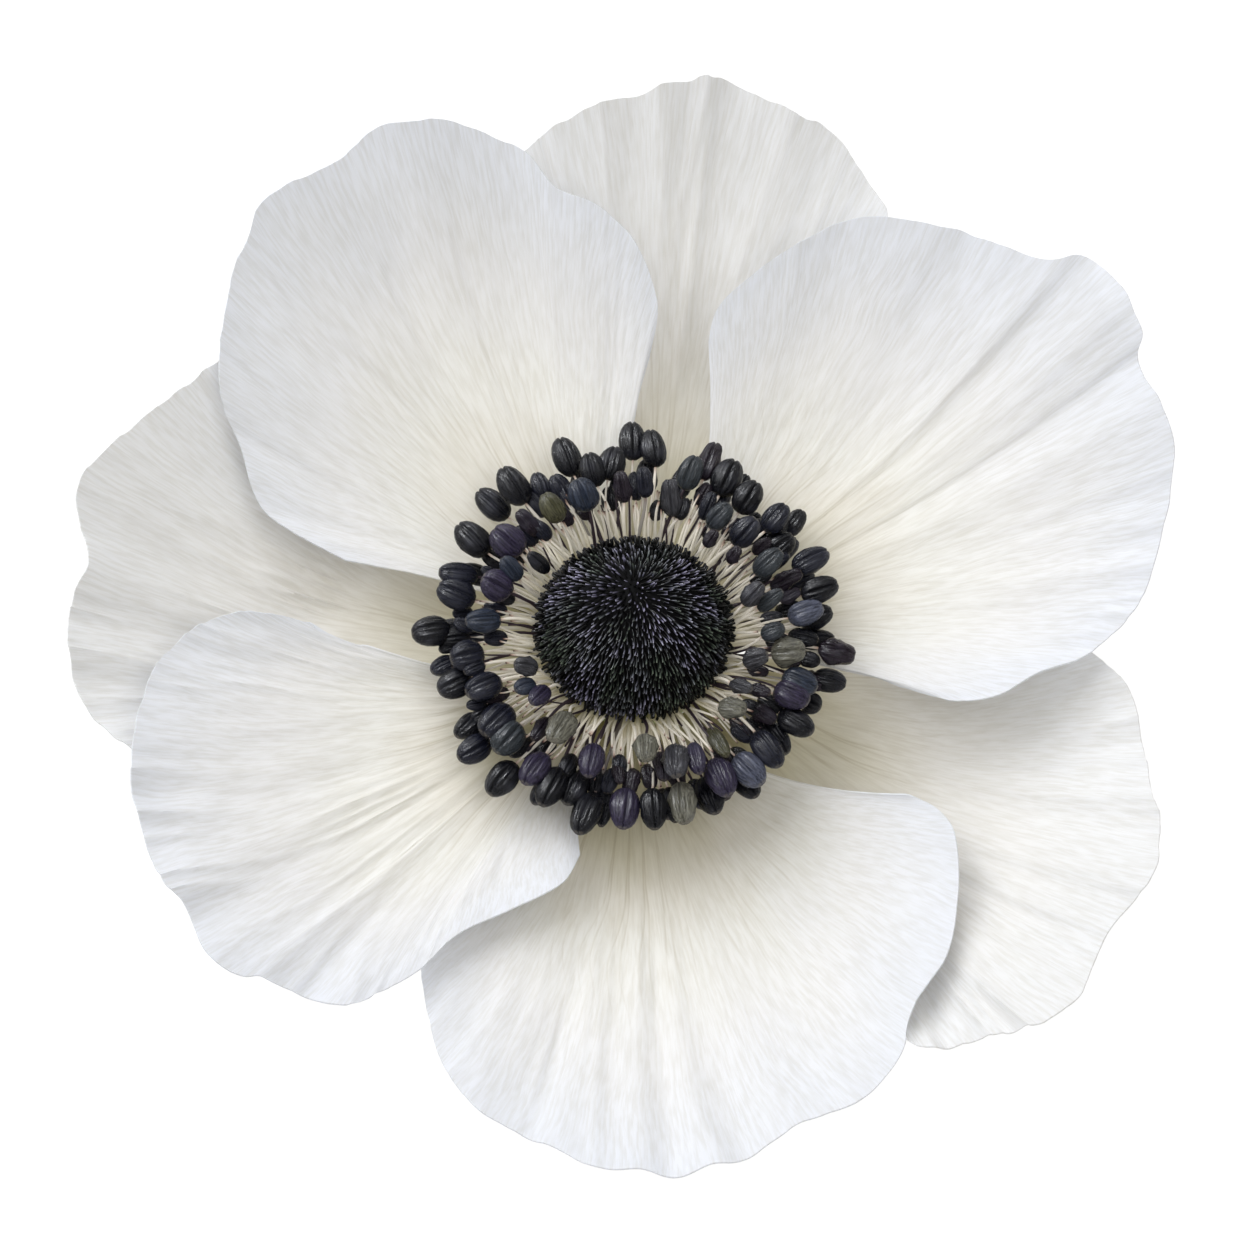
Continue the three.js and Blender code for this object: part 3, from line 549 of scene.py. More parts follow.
def add_mesh(name, points, faces, values=None, vectors=None, colours=None):
    """A smooth mesh, with its numbers, vectors and colours kept point by point."""
    mesh = bpy.data.meshes.new(name)
    mesh.from_pydata(np.asarray(points).tolist(), [], faces)
    for kind, field, group in (
        ("FLOAT", "value", values), ("FLOAT_VECTOR", "vector", vectors), ("FLOAT_COLOR", "color", colours)
    ):
        for title, data in (group or {}).items():
            held = mesh.attributes.new(title, kind, "POINT")
            held.data.foreach_set(field, np.asarray(data, float).ravel())
    mesh.shade_smooth()
    return mesh


def add_piece(name, mesh, slot, *nodes):
    """Puts a finished mesh in the scene, on the root body, in place of its CAD nodes."""
    piece = bpy.data.objects.new(name, mesh)
    scene.collection.objects.link(piece)
    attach(piece, "root")
    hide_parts(*nodes)


# Petals


def on_curve(points, shares):
    """A smooth curve through rows of numbers, walked by the share of its length in x and y."""
    points = np.array(points, float)
    steps = np.hypot(*np.diff(points[:, :2], axis=0).T)
    lengths = np.concatenate([[0], np.cumsum(steps)])
    target = np.clip(shares, 0, 1) * lengths[-1]
    i = np.clip(np.searchsorted(lengths, target) - 1, 0, len(steps) - 1)
    t = ((target - lengths[i]) / steps[i])[:, None]
    before = points[np.maximum(i - 1, 0)]
    start = points[i]
    end = points[i + 1]
    after = points[np.minimum(i + 2, len(points) - 1)]
    bend = 2 * before - 5 * start + 4 * end - after
    twist = 3 * (start - end) + after - before
    return (start + 0.5 * t * (end - before + t * (bend + t * twist))).T


def settled(height):
    """A petal that would sag below the surface lies flat on it, with a soft turn into the flat spot."""
    over = height - BLADE / 2
    soft = BLADE / 2 + (over + FLAT_BLEND) ** 2 / (4 * FLAT_BLEND)
    return np.where(over <= -FLAT_BLEND, BLADE / 2, np.where(over >= FLAT_BLEND, height, soft))


def petal_height(petal, along, across, lift, radius, seed=None):
    """Height of a petal's middle surface: its layer's bowl, the lift of its margin and its cup, as the solid
    has them, its pleats, softened, and with a seed its fine folds too."""
    layer = petal["layer"]
    rise = np.where(radius < layer["at"], layer["inner"], layer["outer"])
    height = layer["lowest"] + rise * (np.abs(radius - layer["at"]) / RISE_SPAN) ** layer["power"]
    height = height + lift * along**LIFT_POWER
    side = np.abs(2 * (across - petal["trough"]))
    late = np.maximum(side - SIDE_FLAT, 0)
    height = height + petal["cup"] * (side**2 - late**2 / (1 - SIDE_FLAT)) * along
    for place, half_width, tall in petal["pleats"]:
        ridge = PLEAT_SHARE * tall * np.exp(-(((across - place) / half_width) ** 2))
        height = height + ridge * along**PLEAT_POWER
    if seed is not None:
        height = height + fine_folds(petal, along, across, seed)
    height = height - (1 - HIGH_SHARE) * np.maximum(height - HIGH, 0)
    return settled(height)


def fine_folds(petal, along, across, seed):
    """Crests along the veins, creases, a soft unevenness of the whole sheet, and a ruffle at the margin."""
    place = across + wander(FOLD_SWAY, across, along, seed)
    patchy = np.clip(PATCHY_MEAN + wander(PATCHES, across, along, seed + 17), *PATCHY_RANGE)
    calm = np.clip(np.minimum(across, 1 - across) / SIDE_CALM, CALM_LEAST, 1)
    crinkle = np.interp(across, *petal["crinkle"]) * patchy * calm
    folds = np.zeros_like(along)
    for i, (steps, rows, tall, power) in enumerate(FOLDS):
        wave = np.abs(drift(place * steps, along * rows, seed + 1 + i)) ** CREST
        folds += tall * along**power * crinkle * (CREST_LEVEL - 2 * wave)
    for start, left, right, tall, begin in petal["creases"]:
        beside = place - start
        slope = np.exp(-((np.abs(beside) / np.where(beside < 0, left, right)) ** CREASE_SIDES))
        folds += tall * slope * np.clip((along - begin) / (1 - begin), 0, 1) ** CREASE_GROWTH
    for i, (steps, rows, tall, power) in enumerate(UNEVEN):
        folds += tall * along**power * drift(place * steps, along * rows, seed + 5 + i)
    steps, tall, power = RUFFLE
    return folds + tall * along**power * drift(across * steps, along * 0, seed + 9)


def unfolded(plan):
    """Where each row of a petal starts and ends, so that it doesn't fold back over itself at its sides."""
    (out_x, side_x), (out_y, side_y) = (np.gradient(part) for part in plan)
    turn = out_x * side_y - out_y * side_x
    turn *= np.sign(np.median(turn))
    ends = []
    for facing in (turn, turn[:, ::-1]):
        folded = facing[:, FOLDED - 1::-1] < 0
        first = np.where(folded.any(axis=1), FOLDED - np.argmax(folded, axis=1), 0)
        here = np.take_along_axis(facing, first[:, None], 1)[:, 0]
        before = np.take_along_axis(facing, np.maximum(first - 1, 0)[:, None], 1)[:, 0]
        exact = np.where(first > 0, first - here / np.maximum(here - before, TINY), 0)
        exact = np.convolve(np.pad(exact, len(EVENING) // 2, mode="edge"), EVENING, mode="valid")
        ends.append(exact[:, None] / COLUMNS)
    return ends[0], 1 - ends[1]


def petal_surface(petal, seed):
    """The middle surface of a petal as a grid of points, and how far along and across each one is."""
    across = np.linspace(0, 1, COLUMNS + 1)
    x, seen, lift = on_curve(petal["margin"], across)
    y = seen.copy()
    for _ in range(MARGIN_ROUNDS):
        height = petal_height(petal, 1, across, lift, np.hypot(x, y))
        y = (seen + (DOME_CENTRE - height) * math.cos(VIEW_RISE)) / math.sin(VIEW_RISE)
    steps, deep = NICKS
    inset = 1 - MARGIN_INSET - deep * (1 + drift(across * steps, across * 0, seed + 10))
    x, y = x * inset, y * inset
    along = np.linspace(0, 1, ROWS + 1)[:, None]
    facing = math.radians(petal["facing"])
    angle = facing + np.radians(np.interp(across, [0, 1], petal.get("claw", CLAW)))
    base = CLAW_RADIUS * np.array([np.cos(angle), np.sin(angle)])
    ray = np.array([x, y]) - base
    straight = np.array([[math.cos(facing)], [math.sin(facing)]]) * np.hypot(*ray)
    middle = base + 0.5 * ray + VEIN_BEND * (straight - ray)
    plan = [
        base[k] * (1 - along) ** 2 + middle[k] * 2 * along * (1 - along) + (base + ray)[k] * along**2
        for k in (0, 1)
    ]
    start, end = unfolded(plan)
    shares = start + (end - start) * across
    along, shares = np.broadcast_arrays(along, shares)
    plan = [np.stack([np.interp(kept, across, row) for kept, row in zip(shares, part)]) for part in plan]
    lift = np.interp(shares, across, lift)
    height = petal_height(petal, along, shares, lift, np.hypot(*plan), seed)
    return np.stack([*plan, height], -1), along, shares


def petal_mesh(petal, seed):
    """A petal as a thin closed sheet: its upper face lies along the solid's middle, its lower one on the
    solid's."""
    points, along, across = petal_surface(petal, seed)
    outward = np.gradient(points, axis=0)
    sideways = np.gradient(points, axis=1)
    spread = np.linalg.norm(sideways, axis=-1) / np.gradient(across, axis=1)
    octave = np.log2(spread / FIBRE_STEP)
    fibre = across + wander(FIBRE_SWAY, across, along, seed + 11)
    cloud = wander(CLOUDS, across, along, seed + 13)
    vein = VEINS * (across + wander(VEIN_SWAY, across, along, seed + 15))
    patchy = np.clip(VEINS_SHOWN + wander(VEIN_PATCHES, across, along, seed + 16), 0, 1)
    normal = np.cross(outward, sideways)
    normal /= np.linalg.norm(normal, axis=-1)[..., None]
    beside = np.linspace(0, 1, COLUMNS + 1)
    inside = np.minimum((1 - along) / (1 - THIN_FROM), np.minimum(beside, 1 - beside) / THIN_SIDE)
    thick = (THIN + (THICK - THIN) * np.clip(inside, 0, 1))[..., None]
    middle = points - normal * THICK / 2
    sheets = np.stack([middle + normal * thick / 2, middle - normal * thick / 2])
    sheets[..., 2] = np.maximum(sheets[..., 2], 0)
    sheets += AXIS
    corner = np.arange((ROWS + 1) * (COLUMNS + 1)).reshape(ROWS + 1, COLUMNS + 1)
    a, b, c, d = corner[:-1, :-1], corner[1:, :-1], corner[1:, 1:], corner[:-1, 1:]
    upper = np.stack([a, b, c, d], -1).reshape(-1, 4)
    lower = np.stack([a, d, c, b], -1).reshape(-1, 4) + corner.size
    rim = np.concatenate([corner[:-1, 0], corner[-1, :-1], corner[:0:-1, -1], corner[0, :0:-1]])
    following = np.roll(rim, -1)
    edge = np.stack([rim, rim + corner.size, following + corner.size, following], -1)
    faces = np.concatenate([upper, lower, edge]).tolist()
    maps = {"fibre_map": (fibre, along, octave), "vein_map": (vein, patchy, spread / VEINS)}
    maps = {title: np.tile(np.stack(parts, -1).reshape(-1, 3), (2, 1)) for title, parts in maps.items()}
    values = {"cloud": np.tile(cloud.ravel(), 2)}
    mesh = add_mesh(petal["name"], sheets.reshape(-1, 3) * MM, faces, values=values, vectors=maps)
    mesh.set_sharp_from_angle(angle=SHARP)
    return mesh


def petal_material(name, tones):
    """Petal: thin living tissue with fine fibres along its veins, matt, which lets some light through."""
    material, tree = new_material(name)

    def read(title):
        held = add(tree, "Attribute", attribute_name=title).outputs["Vector"]
        return add(tree, "SeparateXYZ", {0: held}).outputs

    # Fibres: streaks about 0.2 mm wide and 1 mm long, which is coarser than life so that they show. The petal
    # widens outwards, so they fork wherever it has doubled in width, and stay about that wide.
    across, along, octave = read("fibre_map")
    belt = add(tree, "Math", {0: octave}, operation="FLOOR")
    later = add(tree, "Math", {0: octave}, operation="FRACT")
    count = add(tree, "Math", {0: 2.0, 1: belt}, operation="POWER")
    row = add(tree, "Math", {0: along, 1: FIBRE_ROWS}, operation="MULTIPLY")
    streaks = []
    for forks in (1.0, 2.0):
        column = add(tree, "Math", {0: across, 1: count}, operation="MULTIPLY")
        column = add(tree, "Math", {0: column, 1: forks}, operation="MULTIPLY")
        skew = add(tree, "Math", {0: column, 1: 0.1, 2: row}, operation="MULTIPLY_ADD")
        spot = add(tree, "CombineXYZ", {0: column, 1: skew})
        streaks.append(add(tree, "TexNoise", {
            "Vector": spot, "Scale": 1.0, "Detail": 2.0, "Roughness": 0.6,
        }, noise_dimensions="2D"))
    fibres = add(tree, "Mix", {"Factor": later, "A": streaks[0], "B": streaks[1]}, data_type="FLOAT")

    # Veins: fine darker lines, about 1 mm apart half way out. Each forks in two and fades out by two thirds.
    vein, patchy, step = read("vein_map")
    beside = add(tree, "Math", {0: vein, 1: 0.5}, operation="PINGPONG")
    fork = add(tree, "MapRange", {"Value": along, "From Min": 0.2, "From Max": 0.6, "To Max": 0.25})
    gap = add(tree, "Math", {0: beside, 1: fork}, operation="SUBTRACT")
    gap = add(tree, "Math", {0: gap}, operation="ABSOLUTE")
    gap = add(tree, "Math", {0: gap, 1: step}, operation="MULTIPLY")
    line = add(tree, "MapRange", {"Value": gap, "From Min": 0.11, "From Max": 0.02})
    fade = add(tree, "MapRange", {"Value": along, "From Min": 0.68, "From Max": 0.25})
    line = add(tree, "Math", {0: line, 1: fade}, operation="MULTIPLY")
    line = add(tree, "Math", {0: line, 1: patchy}, operation="MULTIPLY")

    # Colour: khaki at the base, partly the petal's own tint and partly painted shade under the stamens; cream
    # by the stamens, then white, and cooler towards the margin
    cloud = add(tree, "Attribute", attribute_name="cloud").outputs["Fac"]
    shift = add(tree, "Math", {0: cloud, 1: 0.06, 2: along}, operation="MULTIPLY_ADD")
    tone = add(tree, "ValToRGB", {"Fac": shift}, stops=tones)
    # The fibres are a little darker where their bump is low: partly their own streaky tone, partly painted
    # shade in their hollows.
    dim = add(tree, "ValToRGB", {"Fac": fibres}, stops=[(0.35, "#f5f4f1"), (0.62, "#ffffff")])
    tone = add(tree, "Mix", {"Factor": 1.0, "A": tone, "B": dim}, data_type="RGBA", blend_type="MULTIPLY")
    soft = add(tree, "Math", {0: line, 1: 0.3}, operation="MULTIPLY")
    tone = add(tree, "Mix", {"Factor": soft, "A": tone, "B": linear("#a89a74")}, data_type="RGBA")

    bump = add(tree, "Bump", {"Strength": 0.6, "Distance": 0.05 * MM, "Height": fibres})
    give_skin(tree, tone, {
        "Roughness": 0.62, "IOR": 1.42, "Specular IOR Level": 0.3, "Normal": bump,
    }, through=0.12)
    return material


# What repeats is grown by geometry nodes


def new_tree(name, inputs):
    """An empty geometry tree with named inputs, and what its first node gives."""
    tree = bpy.data.node_groups.new(name, "GeometryNodeTree")
    tree.interface.new_socket(name="Geometry", in_out="OUTPUT", socket_type="NodeSocketGeometry")
    tree.interface.new_socket(name="Geometry", in_out="INPUT", socket_type="NodeSocketGeometry")
    for title, kind in inputs.items():
        tree.interface.new_socket(name=title, in_out="INPUT", socket_type=f"NodeSocket{kind}")
    return tree, add(tree, "GroupInput").outputs


def finish_tree(tree, geometry, finish):
    """Ends a geometry tree with real geometry in place of its instances, smooth and with its finish."""
    plain = add(tree, "RealizeInstances", {"Geometry": geometry})
    plain = add(tree, "SetShadeSmooth", {"Geometry": plain})
    plain = add(tree, "SetMaterial", {"Geometry": plain, "Material": finish})
    add(tree, "GroupOutput", {0: plain})
    return tree


def grown(name, mesh, tree, values):
    """Runs a geometry tree on a mesh and gives the result as a plain mesh."""
    holder = bpy.data.objects.new(name, mesh)
    scene.collection.objects.link(holder)
    modifier = holder.modifiers.new(name, "NODES")
    modifier.node_group = tree
    for item in tree.interface.items_tree:
        if item.in_out == "INPUT" and item.name in values:
            modifier[item.identifier] = values[item.name]
    bpy.context.view_layer.update()
    graph = bpy.context.evaluated_depsgraph_get()
    plain = bpy.data.meshes.new_from_object(
        holder.evaluated_get(graph), preserve_all_data_layers=True, depsgraph=graph
    )
    bpy.data.objects.remove(holder)
    plain.name = name
    return plain


# Dome


def dome_flesh():
    """The dome's own body, a slightly oval bun with a flat underside."""
    turn = np.arange(DOME_AROUND) * 2 * math.pi / DOME_AROUND
    wide, deep, tall = (size - STYLE_ROOM for size in (DOME_WIDE, DOME_DEEP, DOME_TALL))
    lowest = math.asin((DOME_FOOT - DOME_CENTRE) / tall)
    points = []
    for tilt in np.linspace(lowest, math.pi / 2, DOME_RINGS + 1)[:-1]:
        rough = 1 + DOME_ROUGH * drift(turn * 6, turn * 0 + tilt * 9, DOME_SEED)
        points.append(np.stack([
            wide * math.cos(tilt) * rough * np.cos(turn), deep * math.cos(tilt) * rough * np.sin(turn),
            DOME_CENTRE + tall * math.sin(tilt) + turn * 0,
        ], -1))
    points = np.concatenate([*points, [[0, 0, DOME_CENTRE + tall], [0, 0, DOME_FOOT]]]) + AXIS
    return add_mesh("dome_flesh", points * MM, ring_faces(DOME_AROUND, DOME_RINGS))


def style_tree():
    """Styles: curved bristles over a surface, each leaning away from a whorl."""
    tree, given = new_tree("styles", {
        "Spacing": "Float", "Length": "Float", "Radius": "Float", "Lean": "Float", "Whorl": "Vector",
        "Heart": "Vector", "Axis": "Vector", "Lowest": "Float", "Highest": "Float", "Foot": "Float",
        "Blunt": "Float", "Seed": "Int", "Finish": "Material",
    })
    spot = add(tree, "InputPosition")
    height = add(tree, "SeparateXYZ", {0: spot}).outputs[2]
    grown_from = add(tree, "Compare", {0: height, 1: given["Foot"]}, operation="GREATER_THAN")
    level = add(tree, "VectorMath", {0: spot, 1: given["Heart"]}, operation="SUBTRACT")
    level = add(tree, "VectorMath", {0: level, 1: given["Axis"]}, operation="DOT_PRODUCT")
    level = level.outputs["Value"]
    above = add(tree, "Compare", {0: level, 1: given["Lowest"]}, operation="GREATER_THAN")
    below = add(tree, "Compare", {0: level, 1: given["Highest"]}, operation="LESS_THAN")
    band = add(tree, "BooleanMath", {0: above, 1: below}, operation="AND")
    band = add(tree, "BooleanMath", {0: band, 1: grown_from}, operation="AND")
    feet = add(tree, "DistributePointsOnFaces", {
        "Mesh": given["Geometry"], "Selection": band, "Distance Min": given["Spacing"],
        "Density Max": STYLE_DENSITY, "Seed": given["Seed"],
    }, distribute_method="POISSON")
    normal = feet.outputs["Normal"]
    away = add(tree, "VectorMath", {0: spot, 1: given["Whorl"]}, operation="SUBTRACT")
    far = add(tree, "VectorMath", {0: away}, operation="LENGTH").outputs["Value"]
    along_normal = add(tree, "VectorMath", {0: away, 1: normal}, operation="DOT_PRODUCT")
    along_normal = along_normal.outputs["Value"]
    lifted = add(tree, "VectorMath", {0: normal, 3: along_normal}, operation="SCALE")
    away = add(tree, "VectorMath", {0: away, 1: lifted}, operation="SUBTRACT")
    away = add(tree, "VectorMath", {0: away}, operation="NORMALIZE")
    full = add(tree, "MapRange", {"Value": far, "From Max": FULL_LEAN * MM, "To Min": LEAST_LEAN})
    lean = add(tree, "Math", {0: full, 1: given["Lean"]}, operation="MULTIPLY")
    away = add(tree, "VectorMath", {0: away, 3: lean}, operation="SCALE")
    stray = add(tree, "RandomValue", {
        "Min": (-STYLE_STRAY,) * 3, "Max": (STYLE_STRAY,) * 3, "Seed": given["Seed"],
    }, data_type="FLOAT_VECTOR")
    aim = add(tree, "VectorMath", {0: normal, 1: away})
    aim = add(tree, "VectorMath", {0: aim, 1: stray})
    turn = add(tree, "AlignRotationToVector", {"Vector": aim}, axis="Z")

    # One style: a bowed hair that thins towards its tip
    tip = add(tree, "CombineXYZ", {2: given["Length"]})
    bow = add(tree, "Math", {0: given["Length"], 1: 0.14}, operation="MULTIPLY")
    half = add(tree, "Math", {0: given["Length"], 1: 0.5}, operation="MULTIPLY")
    middle = add(tree, "CombineXYZ", {0: bow, 2: half})
    hair = add(tree, "CurveQuadraticBezier", {
        "Resolution": 4, "Start": (0.0, 0.0, 0.0), "Middle": middle, "End": tip,
    })
    share = add(tree, "SplineParameter").outputs["Factor"]
    # Tips are painted paler, which is partly the styles' own pale tips and partly painted highlight; blunt
    # ones keep dark tips.
    pale_tip_and_highlight = add(tree, "MapRange", {"Value": given["Blunt"], "To Min": 1.0, "To Max": 0.55})
    shown = add(tree, "Math", {0: share, 1: pale_tip_and_highlight}, operation="MULTIPLY")
    hair = add(tree, "StoreNamedAttribute", {"Geometry": hair, "Name": "reach", "Value": shown},
               data_type="FLOAT", domain="POINT")
    thin = add(tree, "Math", {0: share, 1: 3.0}, operation="POWER")
    end_width = add(tree, "MapRange", {"Value": given["Blunt"], "To Min": 0.85, "To Max": 0.8})
    thin = add(tree, "MapRange", {"Value": thin, "To Min": 1.0, "To Max": end_width})
    thin = add(tree, "Math", {0: thin, 1: given["Radius"]}, operation="MULTIPLY")
    ring = add(tree, "CurvePrimitiveCircle", {"Resolution": 4, "Radius": 1.0})
    hair = add(tree, "CurveToMesh", {
        "Curve": hair, "Profile Curve": ring.outputs["Curve"], "Scale": thin, "Fill Caps": True,
    })
    smallest, largest = STYLE_SIZES
    size = add(tree, "RandomValue", {2: smallest, 3: largest, "Seed": given["Seed"]}, data_type="FLOAT")
    grown_on = add(tree, "InstanceOnPoints", {
        "Points": feet.outputs["Points"], "Instance": hair, "Rotation": turn, "Scale": size,
    })
    tint = add(tree, "RandomValue", {2: 0.0, 3: 1.0, "Seed": TINT_SEED}, data_type="FLOAT")
    grown_on = add(tree, "StoreNamedAttribute", {
        "Geometry": grown_on, "Name": "tint", "Value": tint,
    }, data_type="FLOAT", domain="INSTANCE")
    return finish_tree(tree, grown_on, given["Finish"])


def style_material():
    """Styles: black waxy tissue with a low gloss that glints. The tips are paler and bluish, partly their own
    colour and partly painted highlight.
    """
    material, tree = new_material("style_black_waxy")
    reach = add(tree, "Attribute", attribute_name="reach").outputs["Fac"]
    tint = add(tree, "Attribute", attribute_name="tint").outputs["Fac"]
    body = add(tree, "TexCoord").outputs["Object"]
    # Black, paler and bluish towards the tips: partly the styles' own tips, partly painted highlight.
    shade = add(tree, "ValToRGB", {"Fac": reach}, stops=[
        (0, "#010102"), (0.4, "#040407"), (0.56, "#1d1c26"), (0.74, "#6e6b85"), (1, "#a6a3bc"),
    ])
    # A darker, greener copy of the styles' tones, as painted shade for the side turned from the lamps.
    green = add(tree, "ValToRGB", {"Fac": reach}, stops=[
        (0, "#010201"), (0.4, "#030504"), (0.56, "#111813"), (0.74, "#38433a"), (1, "#626b5e"),
    ])
    # Painted shade: darker and greener towards the lower right, the side turned from the lamps, with an edge
    # that wanders over some 3 mm
    cloud = add(tree, "TexNoise", {"Vector": body, "Scale": 300.0, "Detail": 1.0})
    side = add(tree, "VectorMath", {0: body, 1: (11.0, -15.0, 0.0)}, operation="DOT_PRODUCT")
    cloud = add(tree, "Math", {0: cloud, 1: side.outputs["Value"]}, operation="ADD")
    cloud = add(tree, "MapRange", {"Value": cloud, "From Min": 0.45, "From Max": 0.6})
    tone = add(tree, "Mix", {"Factor": cloud, "A": shade, "B": green}, data_type="RGBA")
    dim = add(tree, "MapRange", {"Value": tint, "To Min": 0.3, "To Max": 1.3})
    tone = add(tree, "Mix", {"Factor": 1.0, "A": tone, "B": dim}, data_type="RGBA", blend_type="MULTIPLY")
    give_skin(tree, tone, {"Roughness": 0.28, "IOR": 1.45, "Specular IOR Level": 0.4})
    return material


def flesh_material():
    """Dome flesh: the deep purple-black pith that shows between the styles, matt and finely pitted."""
    material, tree = new_material("dome_flesh_pitted")
    body = add(tree, "TexCoord").outputs["Object"]
    pits = add(tree, "TexVoronoi", {"Vector": body, "Scale": 3000.0})  # 0.3 mm apart
    tone = add(tree, "ValToRGB", {"Fac": pits}, stops=[(0, "#0b0a0e"), (0.6, "#040405")])
    bump = add(tree, "Bump", {"Strength": 0.6, "Distance": 0.1 * MM, "Height": pits})
    give_skin(tree, tone, {"Roughness": 0.7, "IOR": 1.45, "Specular IOR Level": 0.1, "Normal": bump})
    return material


# Stamens


def on_photo(x, y, level):
    """The point at a level that the camera sees at x, y of the photo, in millimetres from the axis."""
    up = (PHOTO_AXIS[1] - y) * PHOTO_PIXEL - (level - DOME_CENTRE) * math.cos(VIEW_RISE)
    return np.array([(x - PHOTO_AXIS[0]) * PHOTO_PIXEL, up / math.sin(VIEW_RISE), level])


def place_anther(tip_x, tip_y, base_x, base_y, width, under, draw):
    """Middle, direction, length and width of an anther, from its outline in the photo."""
    level = DOME_CENTRE
    for _ in range(LEVEL_ROUNDS):
        middle = on_photo((tip_x + base_x) / 2, (tip_y + base_y) / 2, level)
        radius = math.hypot(middle[0], middle[1])
        level = np.interp(radius, *ANTHER_LEVELS) - LAYER_DROP * under
    slope = np.interp(radius, *ANTHER_SLOPES) + draw.uniform(-SLOPE_STRAY, SLOPE_STRAY)
    right = (tip_x - base_x) * PHOTO_PIXEL
    up = (base_y - tip_y) * PHOTO_PIXEL
    deep = up
    for _ in range(SLOPE_ROUNDS):
        rise = slope * math.hypot(right, deep)
        deep = (up - rise * math.cos(VIEW_RISE)) / math.sin(VIEW_RISE)
    way = np.array([right, deep, rise])
    length = np.linalg.norm(way)
    return middle, way / length, length, width * PHOTO_PIXEL


def all_anthers(draw):
    """Every anther: those that the photo shows, and darker ones that fill the ring under them."""
    made = []
    for tip_x, tip_y, base_x, base_y, width, tint, under in ANTHERS:
        made.append((*place_anther(tip_x, tip_y, base_x, base_y, width, under, draw), tint))
    for k in range(HIDDEN_ANTHERS):
        turn = 2 * math.pi * (k + draw.uniform(-0.3, 0.3)) / HIDDEN_ANTHERS
        radius = draw.uniform(*HIDDEN_RING)
        level = np.interp(radius, *ANTHER_LEVELS) - draw.uniform(*HIDDEN_DROP)
        out = np.array([math.cos(turn + draw.uniform(-0.15, 0.15)), math.sin(turn), HIDDEN_RISE])
        middle = np.array([radius * math.cos(turn), radius * math.sin(turn), level])
        length, width = np.interp(radius, HIDDEN_RING, (HIDDEN_SMALL, 1)) * np.array(HIDDEN_SIZE)
        tint = draw.choice(["black", "plum", "navy"])
        made.append((middle, out / np.linalg.norm(out), length, width, tint))
    return made


def anther_form(name, girth, crumple, seed):
    """One anther, 1 long, 1 wide and 1 thick: two halves with a deep groove between them, finer grooves on
    each half, and a notch at the tip where the deep groove ends."""
    side = np.array(ANTHER_SIDES)
    turn = np.radians(side)
    dent, *grooves = (
        deep * np.exp(-(((side - place) / half) ** 2)) for place, half, deep in [NOTCH, *GROOVES]
    )
    groove = sum(grooves)
    squash = 1 + ANTHER_SQUASH * np.abs(np.cos(turn)) ** 3
    points = []
    for along in np.cos(np.linspace(math.pi, 0, ANTHER_RINGS + 2))[1:-1]:
        full = (1 - abs(along) ** ANTHER_ENDS) ** 0.5 * (1 - ANTHER_TAPER * along)
        lobe = 1 - groove * (1 - GROOVE_FADE * abs(along) ** 3)
        lobe = lobe * (1 + crumple * drift(turn * 2.2, turn * 0 + along * 2.5, seed))
        notch = dent * max(along, 0) ** 6
        points.append(np.stack([
            along - notch, full * lobe * np.cos(turn) * squash * girth, full * lobe * np.sin(turn),
        ], -1) / 2)
    points = np.concatenate([*points, [TIP_HOLLOW, [-0.5, 0, 0]]])
    return add_mesh(name, points, ring_faces(len(side), ANTHER_RINGS), vectors={"own": points})


def anther_tree():
    """Anthers: one of several forms at each point, turned, sized and tinted as the point says."""
    tree, given = new_tree("anthers", {name: "Object" for name in FORMS} | {"Finish": "Material"})
    forms = add(tree, "JoinGeometry")
    for name in reversed(FORMS):
        shape = add(tree, "ObjectInfo", {"Object": given[name], "As Instance": True})
        tree.links.new(shape.outputs["Geometry"], forms.inputs[0])
    turn, size, kind = (
        add(tree, "InputNamedAttribute", {"Name": title}, data_type=held)
        for title, held in (("turn", "FLOAT_VECTOR"), ("size", "FLOAT_VECTOR"), ("kind", "FLOAT"))
    )
    placed = add(tree, "InstanceOnPoints", {
        "Points": given["Geometry"], "Instance": forms, "Pick Instance": True, "Instance Index": kind,
        "Rotation": add(tree, "EulerToRotation", {0: turn}), "Scale": size,
    })
    return finish_tree(tree, placed, given["Finish"])


